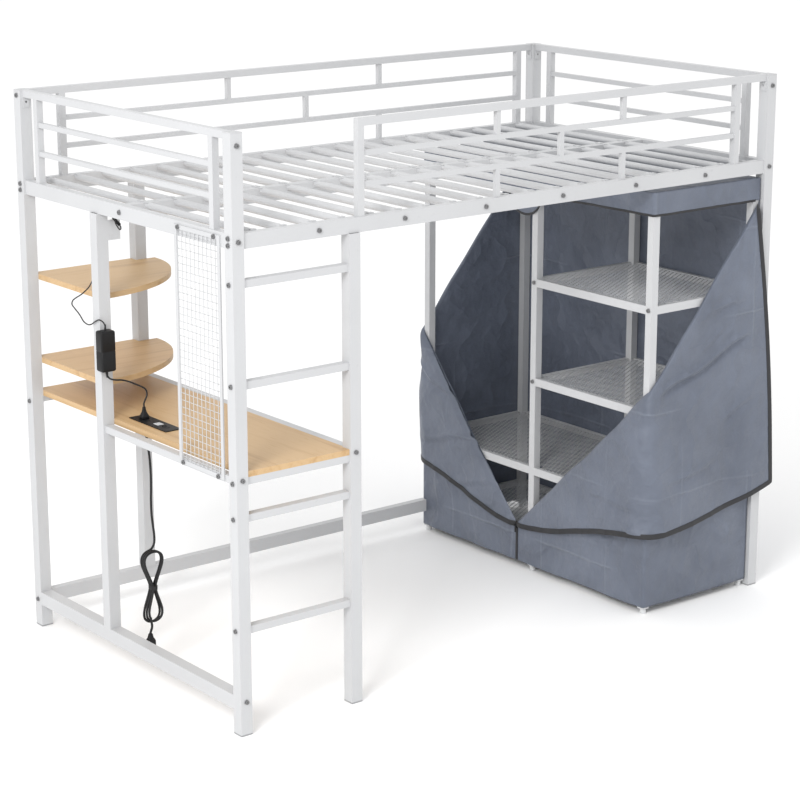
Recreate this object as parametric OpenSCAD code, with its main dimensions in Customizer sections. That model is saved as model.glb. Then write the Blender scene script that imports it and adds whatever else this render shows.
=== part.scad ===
// Metal loft bed with a desk, corner shelves, a ladder and a fabric-covered wardrobe.
// The bed's length runs along X, its depth along Y (ladder side at -Y), and the floor is z = 0.

/* [Bed] */
// Length over the posts
bed_l = 1980; // [1650:5:2400]
// Depth over the posts
bed_w = 1100; // [915:5:1330]
// Height of the guard tops
bed_h = 1620; // [1500:5:1960]
// Side of the square corner posts
post = 36; // [30:1:44]
// Wall of the steel tubes
wall = 1.4; // [1.2:0.1:2]
// Thickness of the plastic caps on the posts
cap_t = 4; // [2:0.5:6]

/* [Deck and guards] */
// Height of the top of the deck rails
deck_z = 1361; // [1100:1:1400]
// Height of the deck rails and the bottom rails
rail_h = 40; // [34:1:48]
// Thickness of the rails
rail_t = 25; // [20:1:30]
// Number of slats along the bed
slat_n = 20; // [14:1:24]
// Diameter of a slat tube
slat_d = 20; // [16:1:24]
// Thickness of the slat's end tab
tab_t = 2.5; // [2:0.5:4]
// Distance from the left end and from the right end to the nearest slat
slat_in = [86.5, 98]; // [80:0.5:130]
// Side of the square guard tubes
guard_s = 20; // [16:1:24]
// Side of the guard's mid bars
bar_s = 14; // [10:1:16]
// Height of the ear plates on the guards
ear_h = 50; // [40:1:60]
// Distance from the bed's front or back to the middle of an end guard's upright
upright_in = 105; // [80:1:150]
// Places of the back guard's uprights, from the left end and from the right end
back_uprights = [142, 92]; // [80:1:180]
// Place of the front guard's right upright, from the right end
front_upright = 154; // [100:1:200]

/* [Ladder and bottom rails] */
// Clear width of the ladder
ladder_w = 333.5; // [280:0.5:400]
// Heights of the two lower rungs
rung_low = [295, 605];
// Height of the third rung above the desk, and depth of the top rung below the deck
rung_high = [230, 131];
// Height of a rung tube
rung_h = 20; // [16:1:26]
// Underside of the bottom rails
bottom_z = 70; // [55:1:90]

/* [Desk and shelves] */
// Height of the desk top
desk_z = 733; // [690:1:760]
// Thickness of the desk board and the shelves
board_t = 16; // [12:1:20]
// Height of the desk rails
desk_rail_h = 20; // [18:1:26]
// Heights of the corner shelves' tops
shelf_z = [833, 1083];
// Reach of a corner shelf along X and along Y
shelf_r = [398, 350];
// Start of the mid post, from the bed's front
mid_y = 664; // [560:1:760]
// Width and front edge of the wire panel
panel = [213, 61];
// Pitch of the panel's wires
wire_pitch = 19.5; // [15:0.5:30]
// Diameter of a wire
wire_d = 1.9; // [1.4:0.1:2.2]

/* [Power strip] */
// Width, length and depth of the strip's tray
strip = [46, 185, 30];
// Place of the tray's near corner
strip_at = [75, 455];
// Tilt of the rocker switch each way
rocker_tilt = 9; // [6:1:12]

/* [Wardrobe] */
// Left face of the wardrobe's frame
wardrobe_x = 1497; // [1300:1:1560]
// Side of the wardrobe's posts
ward_post = 25; // [20:1:28]
// Clearance between the wardrobe's frame and the bed's right end posts
ward_gap = 5; // [4.5:0.5:12]
// Distance from the bed's front to the wardrobe's posts
ward_in = 15; // [13:1:22]
// Front bay's depth, over the posts
bay_w = 536; // [440:1:580]
// Clearance between the wardrobe's frame and the deck rails
ward_drop = 15; // [10:1:60]
// Height of the feet
foot_h = 20; // [12:1:26]
// Height of a tray's frame
tray_h = 25; // [18:1:30]
// Thickness of a tray's sheet
tray_t = 2; // [1.5:0.5:3]
// Tops of the front bay's two shelves and of the two deep shelves
tray_z = [965, 645, 350, 100];

/* [Fabric cover] */
// Thickness of the fabric panels
cloth = 2; // [1.5:0.5:3]
// Bottom hem above the floor
hem_z = 22; // [15:1:35]
// Depth of the valance below the top of the wardrobe's frame
valance_h = 66; // [40:1:120]
// Height of the closed zip at the middle of the left face
zip_z = 146; // [120:1:180]
// Place of the zip along the bed's depth
zip_y = 600; // [540:1:640]
// Height of the folds at the front left and back left corners
fold_z = 715; // [600:1:800]
// Reach of the folded doors beyond the bed's right end
tip_out = 40; // [30:1:46]
// Bulge of the folded doors in front of and behind the bed
bulge = 45; // [38:1:50]

/* [Hidden] */
$fn = 32;
EPS = 0.01;
CLEAR = 0.3;         // running and seating clearance
SOFT = 0.5;          // clearance of the fabric from the frame

WHITE = "white";
MAPLE = "burlywood";
FABRIC = "slategray";
DARK = "#1c1c1e";
GREY = "lightgray";

// Screws
SHANK_R = 3;
HOLE_R = SHANK_R + CLEAR;
HEAD_R = 6.2;
HEAD_H = 3.3;
WASHER_R = 8;
WASHER_T = 1.2;
HEX_R = 2.3;
HEX_DEEP = 1.8;
SHANK_PAST = 8;      // length of a shank in the rail that it holds
END_T = 3;           // end plates of the rails and ear plates of the guards
PAIR_DZ = 9;         // offset of the paired bolts from a rail's middle
CROSS_DZ = 4.5;      // offset that keeps crossing bolts apart in the desk rails
BOTTOM_DZ = 6;       // and in the bottom rails

// The adapter hangs against the mid post and sticks out past the bed's left end.
ADAPTER = [46, 34, 115];
ADAPTER_X = -17;
ADAPTER_Z = 880;

// Places
X_MID = (bed_l + tip_out - WASHER_T - HEAD_H) / 2;    // the cords and what is on them aren't counted
Y_MID = bed_w / 2;
RAIL_IN = (post - rail_t) / 2;
DECK_LOW = deck_z - rail_h;
DECK_MID = deck_z - rail_h / 2;
RUNG_Z = [rung_low[0], rung_low[1], desk_z + rung_high[0], deck_z - rung_high[1]];
WARD_H = DECK_LOW - ward_drop;
VALANCE_Z = WARD_H - valance_h;
LADDER_X = post + ladder_w;
SIDE_X = LADDER_X + post / 2;
SIDE_IN = SIDE_X - rail_t / 2;
BOTTOM_MID = bottom_z + rail_h / 2;
DESK_LOW = desk_z - board_t;
DESK_RAIL_Z = DESK_LOW - desk_rail_h;
DESK_MID = DESK_LOW - desk_rail_h / 2;
SIDE_RAIL_MID = desk_z - desk_rail_h / 2;
RIGHT_X = bed_l - post;
BACK_Y = bed_w - post;
GUARD_MID = bed_h - guard_s / 2;
BAR_Z = [bed_h - 92, bed_h - 174];
EAR_LOW = bed_h - ear_h;
GUARD_BOLT_Y = EAR_LOW + 16;      // bolts of the guards along Y
GUARD_BOLT_X = EAR_LOW + 34;      // bolts of the guards along X
TOP_BODY = bed_h - cap_t;
BEAM_T = 30;
BEAM_Y = Y_MID - BEAM_T / 2;
FLOOR_CAP_IN = 22;
PANEL_T = 4;         // frame of the wire panel, which lies on the rails' outer faces
PANEL_BAR = 12;

// Slats
SLAT_PITCH = (bed_l - slat_in[0] - slat_in[1]) / (slat_n - 1);
SLAT_X = [for (k = [0 : slat_n - 1]) slat_in[0] + SLAT_PITCH * k];
SLAT_AXIS = deck_z + tab_t - slat_d / 2;
TAB_W = 16;
BEAM_REACH = 11;                            // reach of a tab on the beam
RAIL_REACH = (rail_t - guard_s) / 2 - CLEAR;  // and on a rail, short of the guards
FACE_BOLTS = [for (k = [2 : 3 : slat_n - 2]) SLAT_X[k]];

// Wardrobe
WX = [wardrobe_x, RIGHT_X - ward_gap - ward_post];
WY = [ward_in, ward_in + bay_w - ward_post, bed_w - ward_in - ward_post];
WX_END = WX[1] + ward_post;
WY_END = WY[2] + ward_post;
TRAY_BOLTS = [for (k = [[0, 0], [1, 0], [1, 1]]) [WY[k[0]] + ward_post / 2, tray_z[k[1]] - tray_h / 2]];
ROD_D = 18;
MESH_T = 0.6;
TRAY_LIP = 14;
FOOT_PLATE = 4;
FOOT_IN = 3;

// Power strip, counted from its tray's near corner
STRIP_LIP = 2.5;
FLANGE = 3;
REBATE = 1;          // depth that the flange is let into the board
SOCKET_Y = [604, 566];
USB_Y = 530;
USB = [20, 24, 12];
USB_PORT = [12, 5];
ROCKER_Y = 492;
ROCKER = [12, 19, 8];
ROCKER_POCKET = 24;
ROCKER_DEEP = 12;
ROCKER_PIN = 16;
ROCKER_Z = desk_z - 1;
PIN_R = 1.2;
BLADE = [1.5, 6.5, 16];
BLADE_X = 6.35;
SOCKET_DEEP = 18;
EARTH_Y = 11;
EARTH_R = 2.6;
PLUG = [26, 20, 12];
PLUG_NECK = 13;
PLUG_TOP = 770;
MAINS_PLUG = [28, 22, 36];
CONNECTOR_D = 9;
LED = [12, 2];
LED_FROM = 20;

// Cable bracket on the mid post: its reach along X and Y, its height and its top
BRACKET = [39, 30, 57];
BRACKET_T = 3;
BRACKET_Z = DECK_LOW - 21;

// Cover
CX0 = wardrobe_x - SOFT - cloth;
CX1 = WX_END + SOFT + cloth;
CY0 = ward_in - SOFT - cloth;
CY1 = bed_w - CY0;
ROOF_Z = WARD_H + SOFT;
ZIP_W = 12;
ZIP_T = 1.2;
SLIDER = [5, 9, 14];
PULL = [2, 5, 22];
SLIDER_X = CX0 - CLEAR - ZIP_T - CLEAR - SLIDER[0];
FLAP_T = 4;
CORNER_Z = 262;      // lower edge of a folded door at the corner
TIP_RISE = 55;
DOOR_IN = 14;
TAB_Y = [520, 640];
TAB_DROP = 70;
LUG = 4;
LUG_T = 1.4;
PULL_PIN_R = 0.8;
PULL_EYE = 3.4;

// Cords: points chosen by hand, in the bed's own measures
DC_D = 3.6;
AC_D = 5;
MAINS_D = 7;
DC_POINTS = [[6, 647, 995], [6, 646, 1006], [3, 650, 1018], [-3, 662, 1024], [-6, 680, 1016], [-6, 700, 1005],
    [-6, 720, 1001], [-6, 742, 1006], [-6, 764, 1022], [-5, 790, 1034], [-2, 810, 1042], [2, 812, 1052],
    [4, 798, 1062], [5, 774, 1074], [6, 748, 1090], [8, 724, 1110], [12, 709, 1138], [16, 705, 1172],
    [18, 704, 1210], [18, 704, 1250], [20, 705, 1282], [28, 707, 1303], [38, 703, 1314], [48, 690, 1314],
    [54, 676, 1310], [54, 664, 1305]];
LEAD_POINTS = [[54, 632, 1290], [52, 622, 1285], [46, 613, 1281], [38, 606, 1283], [28, 600, 1292],
    [20, 597, 1305], [18, 596, 1319]];
AC_POINTS = [[6, 647, 880], [7, 646, 868], [14, 643, 857], [28, 638, 852], [46, 632, 850], [64, 627, 844],
    [82, 620, 835], [97, 614, 827], [107, 609, 819], [110, 606, 808], [107, 604, 797], [102, 604, 788],
    [98, 604, 779], [98, 604, 770]];
DROP_POINTS = [[100, 600, 703], [101, 600, 685], [104, 599, 655], [107, 597, 620], [108, 595, 580],
    [106, 592, 540], [102, 588, 500], [100, 584, 460], [101, 580, 425], [102, 576, 392], [98, 572, 372],
    [90, 570, 360]];
TAIL_POINTS = [[72, 560, 143], [70, 560, 126], [70, 560, 112]];
HANK = [64, 28, 220];
HANK_AT = [51, 546, 140];
PLUG_AT = [98, 604];
CONNECTOR = [[54, 664, 1305], [54, 632, 1290]];

// ---- shared shapes ----

// Puts the bed's own measures in the part's frame, whose origin is under the middle of the part.
module frame() translate([-X_MID, -Y_MID, 0]) children();

// Block between two corners
module block(a, b) translate(a) cube(b - a);

// Closed rectangular tube along +X from x = 0, centred on Y and Z, with bolt holes through its end plates
module tube(len, w, h, holes = []) difference() {
    translate([0, -w / 2, -h / 2]) cube([len, w, h]);
    translate([END_T, -w / 2 + wall, -h / 2 + wall]) cube([len - 2 * END_T, w - 2 * wall, h - 2 * wall]);
    for (z = holes) translate([-EPS, 0, z]) rotate([0, 90, 0]) cylinder(r = HOLE_R, h = len + 2 * EPS);
}

module tube_x(x0, x1, y, z, w, h, holes = []) translate([x0, y, z]) tube(x1 - x0, w, h, holes);

module tube_y(y0, y1, x, z, w, h, holes = [])
    translate([x, y0, z]) rotate([0, 0, 90]) tube(y1 - y0, w, h, holes);

module tube_z(z0, z1, x, y, w, h)
    translate([x, y, z0]) rotate([0, -90, 0]) tube(z1 - z0, h, w);

// Open square post from z0 to z1 with its near corner at x, y.
// along_x and along_y list the heights of the bolts that cross it in each direction.
module hollow_post(x, y, z0, z1, side, along_x = [], along_y = []) translate([x, y, 0]) difference() {
    translate([0, 0, z0]) cube([side, side, z1 - z0]);
    translate([wall, wall, z0 - EPS]) cube([side - 2 * wall, side - 2 * wall, z1 - z0 + 2 * EPS]);
    for (z = along_x) translate([-EPS, side / 2, z])
        rotate([0, 90, 0]) cylinder(r = HOLE_R, h = side + 2 * EPS);
    for (z = along_y) translate([side / 2, -EPS, z])
        rotate([-90, 0, 0]) cylinder(r = HOLE_R, h = side + 2 * EPS);
}

// Turns +Z towards dir, which is one of the four level directions
function facing(dir) = dir == "front" ? [90, 0, 0] : dir == "back" ? [-90, 0, 0]
    : dir == "left" ? [0, -90, 0] : [0, 90, 0];

module bolt(at, dir, len) translate(at) rotate(facing(dir)) difference() {
    union() {
        translate([0, 0, WASHER_T]) cylinder(r = HEAD_R, h = HEAD_H);
        translate([0, 0, -len]) cylinder(r = SHANK_R, h = len + WASHER_T + EPS);
    }
    translate([0, 0, WASHER_T + HEAD_H - HEX_DEEP]) cylinder(r = HEX_R, h = HEX_DEEP + 1, $fn = 6);
}

module washer(at, dir) translate(at) rotate(facing(dir)) difference() {
    cylinder(r = WASHER_R, h = WASHER_T);
    translate([0, 0, -EPS]) cylinder(r = HOLE_R, h = WASHER_T + 2 * EPS);
}

function unit(v) = v / norm(v);
function bend(p, i) = unit(p[min(i + 1, len(p) - 1)] - p[max(i - 1, 0)]);
function square_to(n, t) = unit(n - (n * t) * t);

// Round tube swept along hand-chosen points; its rings keep their turn from one point to the next
module cord(points, d, sides = 8) {
    n = len(points);
    t = [for (i = [0 : n - 1]) bend(points, i)];
    start = square_to(abs(t[0].y) > 0.7 ? [1, 0, 0] : [0, 1, 0], t[0]);
    side = [for (i = 0, s = start; i < n; i = i + 1, s = i < n ? square_to(s, t[i]) : s) s];
    rings = [for (i = [0 : n - 1]) for (k = [0 : sides - 1])
        points[i] + d / 2 * (cos(360 * k / sides) * side[i] + sin(360 * k / sides) * cross(t[i], side[i]))];
    walls = [for (i = [0 : n - 2]) for (k = [0 : sides - 1])
        [i * sides + k, (i + 1) * sides + k, (i + 1) * sides + (k + 1) % sides, i * sides + (k + 1) % sides]];
    polyhedron(rings, concat([[for (k = [0 : sides - 1]) k]], walls,
        [[for (k = [sides - 1 : -1 : 0]) (n - 1) * sides + k]]), convexity = 8);
}

// ---- bolts: each list holds [x, y, z, direction of the head, length of the shank] ----

POST_BOLT = post + SHANK_PAST;
GUARD_BOLT = post + END_T;
RAIL_BOLT = rail_t - 2 * wall;
PANEL_BOLT = 14;
PANEL_BOLTS = [for (y = [panel[1] + 25, panel[1] + panel[0] - 20])
    for (z = [DECK_MID + CROSS_DZ, DESK_MID]) [y, z]];

BOLTS = concat(
    // members along Y: bolts in the front and back faces of the corner posts
    [for (x = [post / 2, bed_l - post / 2]) for (z = [GUARD_BOLT_Y, DECK_MID]) for (f = ["front", "back"])
        [x, f == "front" ? 0 : bed_w, z, f, z == DECK_MID ? POST_BOLT : GUARD_BOLT]],
    // members along X: bolts in the left and right faces of the corner posts
    [for (y = [post / 2, bed_w - post / 2]) for (z = [DECK_MID - PAIR_DZ, DECK_MID + PAIR_DZ])
        for (f = ["left", "right"]) [f == "left" ? 0 : bed_l, y, z, f, POST_BOLT]],
    [[0, bed_w - post / 2, GUARD_BOLT_X, "left", GUARD_BOLT],
     [bed_l, bed_w - post / 2, GUARD_BOLT_X, "right", GUARD_BOLT],
     [bed_l, post / 2, GUARD_BOLT_X, "right", GUARD_BOLT]],
    // bottom rails
    [for (f = ["front", "back"]) [post / 2, f == "front" ? 0 : bed_w, BOTTOM_MID + BOTTOM_DZ, f, POST_BOLT]],
    [[0, bed_w - post / 2, BOTTOM_MID - BOTTOM_DZ, "left", POST_BOLT]],
    // desk rails
    [[post / 2, 0, DESK_MID + CROSS_DZ, "front", POST_BOLT],
     [0, post / 2, DESK_MID - CROSS_DZ, "left", POST_BOLT],
     [LADDER_X + post, post / 2, DESK_MID - CROSS_DZ, "right", POST_BOLT],
     [0, bed_w - post / 2, DESK_MID - CROSS_DZ, "left", POST_BOLT],
     [SIDE_X, 0, SIDE_RAIL_MID, "front", POST_BOLT],
     [SIDE_X, bed_w, SIDE_RAIL_MID, "back", POST_BOLT]],
    // ladder rungs
    [for (z = RUNG_Z) [0, post / 2, z, "left", POST_BOLT]],
    [for (z = RUNG_Z) [LADDER_X + post, post / 2, z, "right", POST_BOLT]],
    // slat rows on the long rails, and the beam on the end rails
    [for (x = FACE_BOLTS) for (f = ["front", "back"])
        [x, f == "front" ? RAIL_IN : bed_w - RAIL_IN, DECK_MID, f, RAIL_BOLT]],
    [for (f = ["left", "right"])
        [f == "left" ? RAIL_IN : bed_l - RAIL_IN, Y_MID, DECK_MID, f, rail_t + SHANK_PAST]],
    // wire panel, and the trays on the wardrobe's left posts
    [for (b = PANEL_BOLTS) [RAIL_IN - PANEL_T, b[0], b[1], "left", PANEL_BOLT]],
    [for (b = TRAY_BOLTS) [wardrobe_x, b[0], b[1], "left", ward_post - 2 * wall]]);

module bolts() color(DARK) frame() for (b = BOLTS) bolt([b[0], b[1], b[2]], b[3], b[4]);

module washers() color(GREY) frame() for (b = BOLTS) washer([b[0], b[1], b[2]], b[3]);

// ---- bed frame ----

LEFT_X_BOLTS = [DECK_MID - PAIR_DZ, DECK_MID + PAIR_DZ];

module post_front_left() color(WHITE) frame() hollow_post(0, 0, cap_t, TOP_BODY, post,
    concat(LEFT_X_BOLTS, RUNG_Z, [DESK_MID - CROSS_DZ]),
    [GUARD_BOLT_Y, DECK_MID, DESK_MID + CROSS_DZ, BOTTOM_MID + BOTTOM_DZ]);

module post_back_left() color(WHITE) frame() hollow_post(0, BACK_Y, cap_t, TOP_BODY, post,
    concat(LEFT_X_BOLTS, [GUARD_BOLT_X, DESK_MID - CROSS_DZ, BOTTOM_MID - BOTTOM_DZ]),
    [GUARD_BOLT_Y, DECK_MID, BOTTOM_MID + BOTTOM_DZ]);

module post_front_right() color(WHITE) frame() hollow_post(RIGHT_X, 0, cap_t, TOP_BODY, post,
    concat(LEFT_X_BOLTS, [GUARD_BOLT_X]), [GUARD_BOLT_Y, DECK_MID]);

module post_back_right() color(WHITE) frame() hollow_post(RIGHT_X, BACK_Y, cap_t, TOP_BODY, post,
    concat(LEFT_X_BOLTS, [GUARD_BOLT_X]), [GUARD_BOLT_Y, DECK_MID]);

module ladder_post() color(WHITE) frame()
    hollow_post(LADDER_X, 0, cap_t, DECK_LOW, post, concat(RUNG_Z, [DESK_MID - CROSS_DZ]), [SIDE_RAIL_MID]);

module mid_post_left() color(WHITE) frame()
    hollow_post(0, mid_y, bottom_z + rail_h, DECK_LOW, post);

module mid_post_back() color(WHITE) frame()
    hollow_post(LADDER_X, BACK_Y, bottom_z + rail_h, DECK_LOW, post, [], [SIDE_RAIL_MID]);

// A cap's plate with the plug that goes into the post; up is 1 under a post and -1 on top of it
module cap(x, y, z, up) translate([x, y, z]) mirror([0, 0, up > 0 ? 0 : 1]) {
    cube([post, post, cap_t]);
    translate([wall + CLEAR, wall + CLEAR, cap_t - EPS])
        cube([post - 2 * wall - 2 * CLEAR, post - 2 * wall - 2 * CLEAR,
              (up > 0 ? FLOOR_CAP_IN : cap_t) + EPS]);
}

module foot_caps() color(DARK) frame() {
    for (x = [0, RIGHT_X]) for (y = [0, BACK_Y]) cap(x, y, 0, 1);
    cap(LADDER_X, 0, 0, 1);
}

module top_caps() color(WHITE) frame() for (x = [0, RIGHT_X]) for (y = [0, BACK_Y]) cap(x, y, bed_h, -1);

// Long deck rail with the holes of its face bolts on the outer side; side is 1 at the front, -1 at the back
module long_rail(y, side) difference() {
    tube_x(post, RIGHT_X, y, DECK_MID, rail_t, rail_h, [-PAIR_DZ, PAIR_DZ]);
    for (x = FACE_BOLTS) translate([x, y - side * (rail_t / 2 + EPS), DECK_MID])
        rotate([side > 0 ? -90 : 90, 0, 0]) cylinder(r = HOLE_R, h = wall + 2 * EPS);
}

module deck_rail_front() color(WHITE) frame() long_rail(post / 2, 1);

module deck_rail_back() color(WHITE) frame() long_rail(bed_w - post / 2, -1);

// End deck rail, with the beam's bolt through it
module end_rail(x) difference() {
    tube_y(post, BACK_Y, x, DECK_MID, rail_t, rail_h, [0]);
    translate([x - rail_t, Y_MID, DECK_MID]) rotate([0, 90, 0]) cylinder(r = HOLE_R, h = 2 * rail_t);
}

// Holes of the wire panel's bolts through the outer walls of the rails that carry it
module panel_holes() for (b = PANEL_BOLTS) translate([RAIL_IN - PANEL_T - EPS, b[0], b[1]])
    rotate([0, 90, 0]) cylinder(r = HOLE_R, h = PANEL_T + wall + 2 * EPS);

module deck_rail_left() color(WHITE) frame() difference() {
    end_rail(post / 2);
    panel_holes();
}

module deck_rail_right() color(WHITE) frame() end_rail(bed_l - post / 2);

module centre_beam() color(WHITE) frame()
    tube_x(post - RAIL_IN, bed_l - post + RAIL_IN, Y_MID, DECK_MID, BEAM_T, rail_h, [0]);

// One slat between the faces y0 and y1, with a flat tab at each end that lies on the rail or the beam
module slat(x, y0, y1, reach0, reach1) difference() {
    union() {
        translate([x, y0, SLAT_AXIS]) rotate([-90, 0, 0]) cylinder(d = slat_d, h = y1 - y0);
        block([x - TAB_W / 2, y0 - reach0, deck_z], [x + TAB_W / 2, y0 + BEAM_REACH, deck_z + tab_t]);
        block([x - TAB_W / 2, y1 - BEAM_REACH, deck_z], [x + TAB_W / 2, y1 + reach1, deck_z + tab_t]);
    }
    translate([x, y0 - EPS, SLAT_AXIS - tab_t / 2])
        rotate([-90, 0, 0]) cylinder(d = slat_d - tab_t - 2 * wall, h = y1 - y0 + 2 * EPS);
}

module slats_front() color(WHITE) frame() for (x = SLAT_X)
    slat(x, post - RAIL_IN, BEAM_Y, RAIL_REACH, BEAM_REACH);

module slats_back() color(WHITE) frame() for (x = SLAT_X)
    slat(x, BEAM_Y + BEAM_T, BACK_Y + RAIL_IN, BEAM_REACH, RAIL_REACH);

// Guard along +X from x = 0, centred on y = 0: a top tube on uprights, two mid bars and short spindles.
// ears says which ends have an ear plate; spindles holds the X places of each of the three rows.
module guard(len, uprights, ears, spindles) {
    top0 = ears[0] ? END_T : 0;
    top1 = ears[1] ? len - END_T : len;
    tube_x(top0, top1, 0, GUARD_MID, guard_s, guard_s);
    for (e = [0, 1]) if (ears[e]) difference() {
        translate([e * (len - END_T), -guard_s / 2, EAR_LOW]) cube([END_T, guard_s, ear_h]);
        for (z = [GUARD_BOLT_X, GUARD_BOLT_Y]) translate([e * len - END_T - EPS, 0, z])
            rotate([0, 90, 0]) cylinder(r = HOLE_R, h = 2 * END_T + 2 * EPS);
    }
    for (x = uprights) tube_z(deck_z, bed_h - guard_s, x, 0, guard_s, guard_s);
    for (z = BAR_Z) tube_x(uprights[0] + guard_s / 2, uprights[1] - guard_s / 2, 0, z, bar_s, bar_s);
    rows = [[BAR_Z[0] + bar_s / 2, bed_h - guard_s], [BAR_Z[1] + bar_s / 2, BAR_Z[0] - bar_s / 2],
        [deck_z, BAR_Z[1] - bar_s / 2]];
    for (r = [0 : 2]) for (x = spindles[r]) tube_z(rows[r][0], rows[r][1], x, 0, bar_s, bar_s);
}

END_LEN = bed_w - 2 * post;
END_UPRIGHTS = [upright_in - post, END_LEN - upright_in + post];
BACK_UPRIGHTS = [back_uprights[0] - post, bed_l - post - back_uprights[1]];
FRONT_START = LADDER_X + post;
FRONT_LEN = RIGHT_X - FRONT_START;
FRONT_UPRIGHTS = [guard_s / 2, bed_l - front_upright - FRONT_START];

module guard_front() color(WHITE) frame() translate([FRONT_START, post / 2, 0])
    guard(FRONT_LEN, FRONT_UPRIGHTS, [false, true],
        [[FRONT_LEN * 0.315, FRONT_LEN * 0.623], [FRONT_LEN * 0.468],
         [FRONT_LEN * 0.315, FRONT_LEN * 0.623]]);

module guard_back() color(WHITE) frame() translate([post, bed_w - post / 2, 0])
    guard(bed_l - 2 * post, BACK_UPRIGHTS, [true, true],
        [[bed_l * 0.347, bed_l * 0.64], [bed_l * 0.494], [bed_l * 0.347, bed_l * 0.64]]);

module guard_left() color(WHITE) frame() translate([post / 2, post, 0]) rotate([0, 0, 90])
    guard(END_LEN, END_UPRIGHTS, [true, true], [[], [], []]);

module guard_right() color(WHITE) frame() translate([bed_l - post / 2, post, 0]) rotate([0, 0, 90])
    guard(END_LEN, END_UPRIGHTS, [true, true], [[], [], []]);

module ladder_rungs() color(WHITE) frame()
    for (z = RUNG_Z) tube_x(post, LADDER_X, post / 2, z, rail_t, rung_h, [0]);

module bottom_rail_left() color(WHITE) frame()
    tube_y(post, BACK_Y, post / 2, BOTTOM_MID, post, rail_h, [BOTTOM_DZ]);

module bottom_rail_back() color(WHITE) frame()
    tube_x(post, wardrobe_x, bed_w - post / 2, BOTTOM_MID, rail_t, rail_h, [-BOTTOM_DZ]);

// ---- desk ----

// Room for the strip and a margin round it, from the height z up through the board's top
module strip_cut(margin, z) block([strip_at[0] - margin, strip_at[1] - margin, z],
    [strip_at[0] + strip[0] + margin, strip_at[1] + strip[1] + margin, desk_z + EPS]);

module desk_board() color(MAPLE) frame() difference() {
    union() {
        block([post, post, DESK_LOW], [SIDE_IN, BACK_Y, desk_z]);
        block([post, RAIL_IN, DESK_LOW], [LADDER_X, post, desk_z]);
        block([post, BACK_Y, DESK_LOW], [LADDER_X, bed_w - RAIL_IN, desk_z]);
    }
    strip_cut(SOFT, DESK_LOW - EPS);
    strip_cut(SOFT + FLANGE, desk_z - REBATE);
}

module desk_rails() color(WHITE) frame() {
    tube_x(post, LADDER_X, post / 2, DESK_MID, rail_t, desk_rail_h, [-CROSS_DZ]);
    tube_x(post, LADDER_X, bed_w - post / 2, DESK_MID, rail_t, desk_rail_h, [-CROSS_DZ]);
    difference() {
        tube_y(post, mid_y, post / 2, DESK_MID, rail_t, desk_rail_h, [CROSS_DZ]);
        panel_holes();
    }
    tube_y(post, BACK_Y, SIDE_X, SIDE_RAIL_MID, rail_t, desk_rail_h, [0]);
}

// Quarter-ellipse boards in the back left corner, with a strip that fits between the two back posts
module corner_shelves() color(MAPLE) frame() for (z = shelf_z) translate([post, BACK_Y, z - board_t]) {
    intersection() {
        translate([0, -shelf_r[1], 0]) cube([shelf_r[0], shelf_r[1], board_t]);
        linear_extrude(board_t)
            polygon([[0, 0], for (a = [0 : 3 : 90]) [shelf_r[0] * cos(a), -shelf_r[1] * sin(a)]]);
    }
    cube([ladder_w, post - RAIL_IN, board_t]);
}

module cable_bracket() color(WHITE) frame() {
    block([post, mid_y, BRACKET_Z - BRACKET[2]], [post + BRACKET[0], mid_y + BRACKET_T, BRACKET_Z]);
    block([post, mid_y, BRACKET_Z - BRACKET[2]], [post + BRACKET_T, mid_y + BRACKET[1], BRACKET_Z]);
}

PANEL_Y = [panel[1], panel[1] + panel[0]];
PANEL_Z = [DESK_MID - PANEL_BAR / 2, DECK_MID + CROSS_DZ + PANEL_BAR / 2];

module wire_panel_frame() color(WHITE) frame() difference() {
    block([RAIL_IN - PANEL_T, PANEL_Y[0], PANEL_Z[0]], [RAIL_IN, PANEL_Y[1], PANEL_Z[1]]);
    block([0, PANEL_Y[0] + PANEL_BAR, PANEL_Z[0] + PANEL_BAR],
          [post, PANEL_Y[1] - PANEL_BAR, PANEL_Z[1] - PANEL_BAR]);
    panel_holes();
}

// Upright wires in front and level wires behind them, a hair apart
module wire_panel_wires() color(WHITE) frame() {
    y0 = PANEL_Y[0] + PANEL_BAR;
    y1 = PANEL_Y[1] - PANEL_BAR;
    z0 = PANEL_Z[0] + PANEL_BAR;
    z1 = PANEL_Z[1] - PANEL_BAR;
    for (y = [y0 + wire_pitch / 2 : wire_pitch : y1 - wire_d])
        translate([RAIL_IN - PANEL_T * 0.75, y, z0]) cylinder(d = wire_d, h = z1 - z0, $fn = 16);
    for (z = [z0 + wire_pitch / 2 : wire_pitch : z1 - wire_d])
        translate([RAIL_IN - PANEL_T * 0.25, y0, z]) rotate([-90, 0, 0])
            cylinder(d = wire_d, h = y1 - y0, $fn = 16);
}

// ---- power strip, adapter, lights and their cords ----

STRIP_X = strip_at[0] + strip[0] / 2;
STRIP_TOP = desk_z + STRIP_LIP;

// Two blade slots and an earth hole; the earth hole is on the +Y side
module socket(y) translate([STRIP_X, y, STRIP_TOP - SOCKET_DEEP]) {
    for (s = [-1, 1]) translate([s * BLADE_X - BLADE[0] / 2 - CLEAR, -BLADE[1] / 2 - CLEAR, 0])
        cube([BLADE[0] + 2 * CLEAR, BLADE[1] + 2 * CLEAR, SOCKET_DEEP + 1]);
    translate([0, EARTH_Y, 0]) cylinder(r = EARTH_R, h = SOCKET_DEEP + 1);
}

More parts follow.
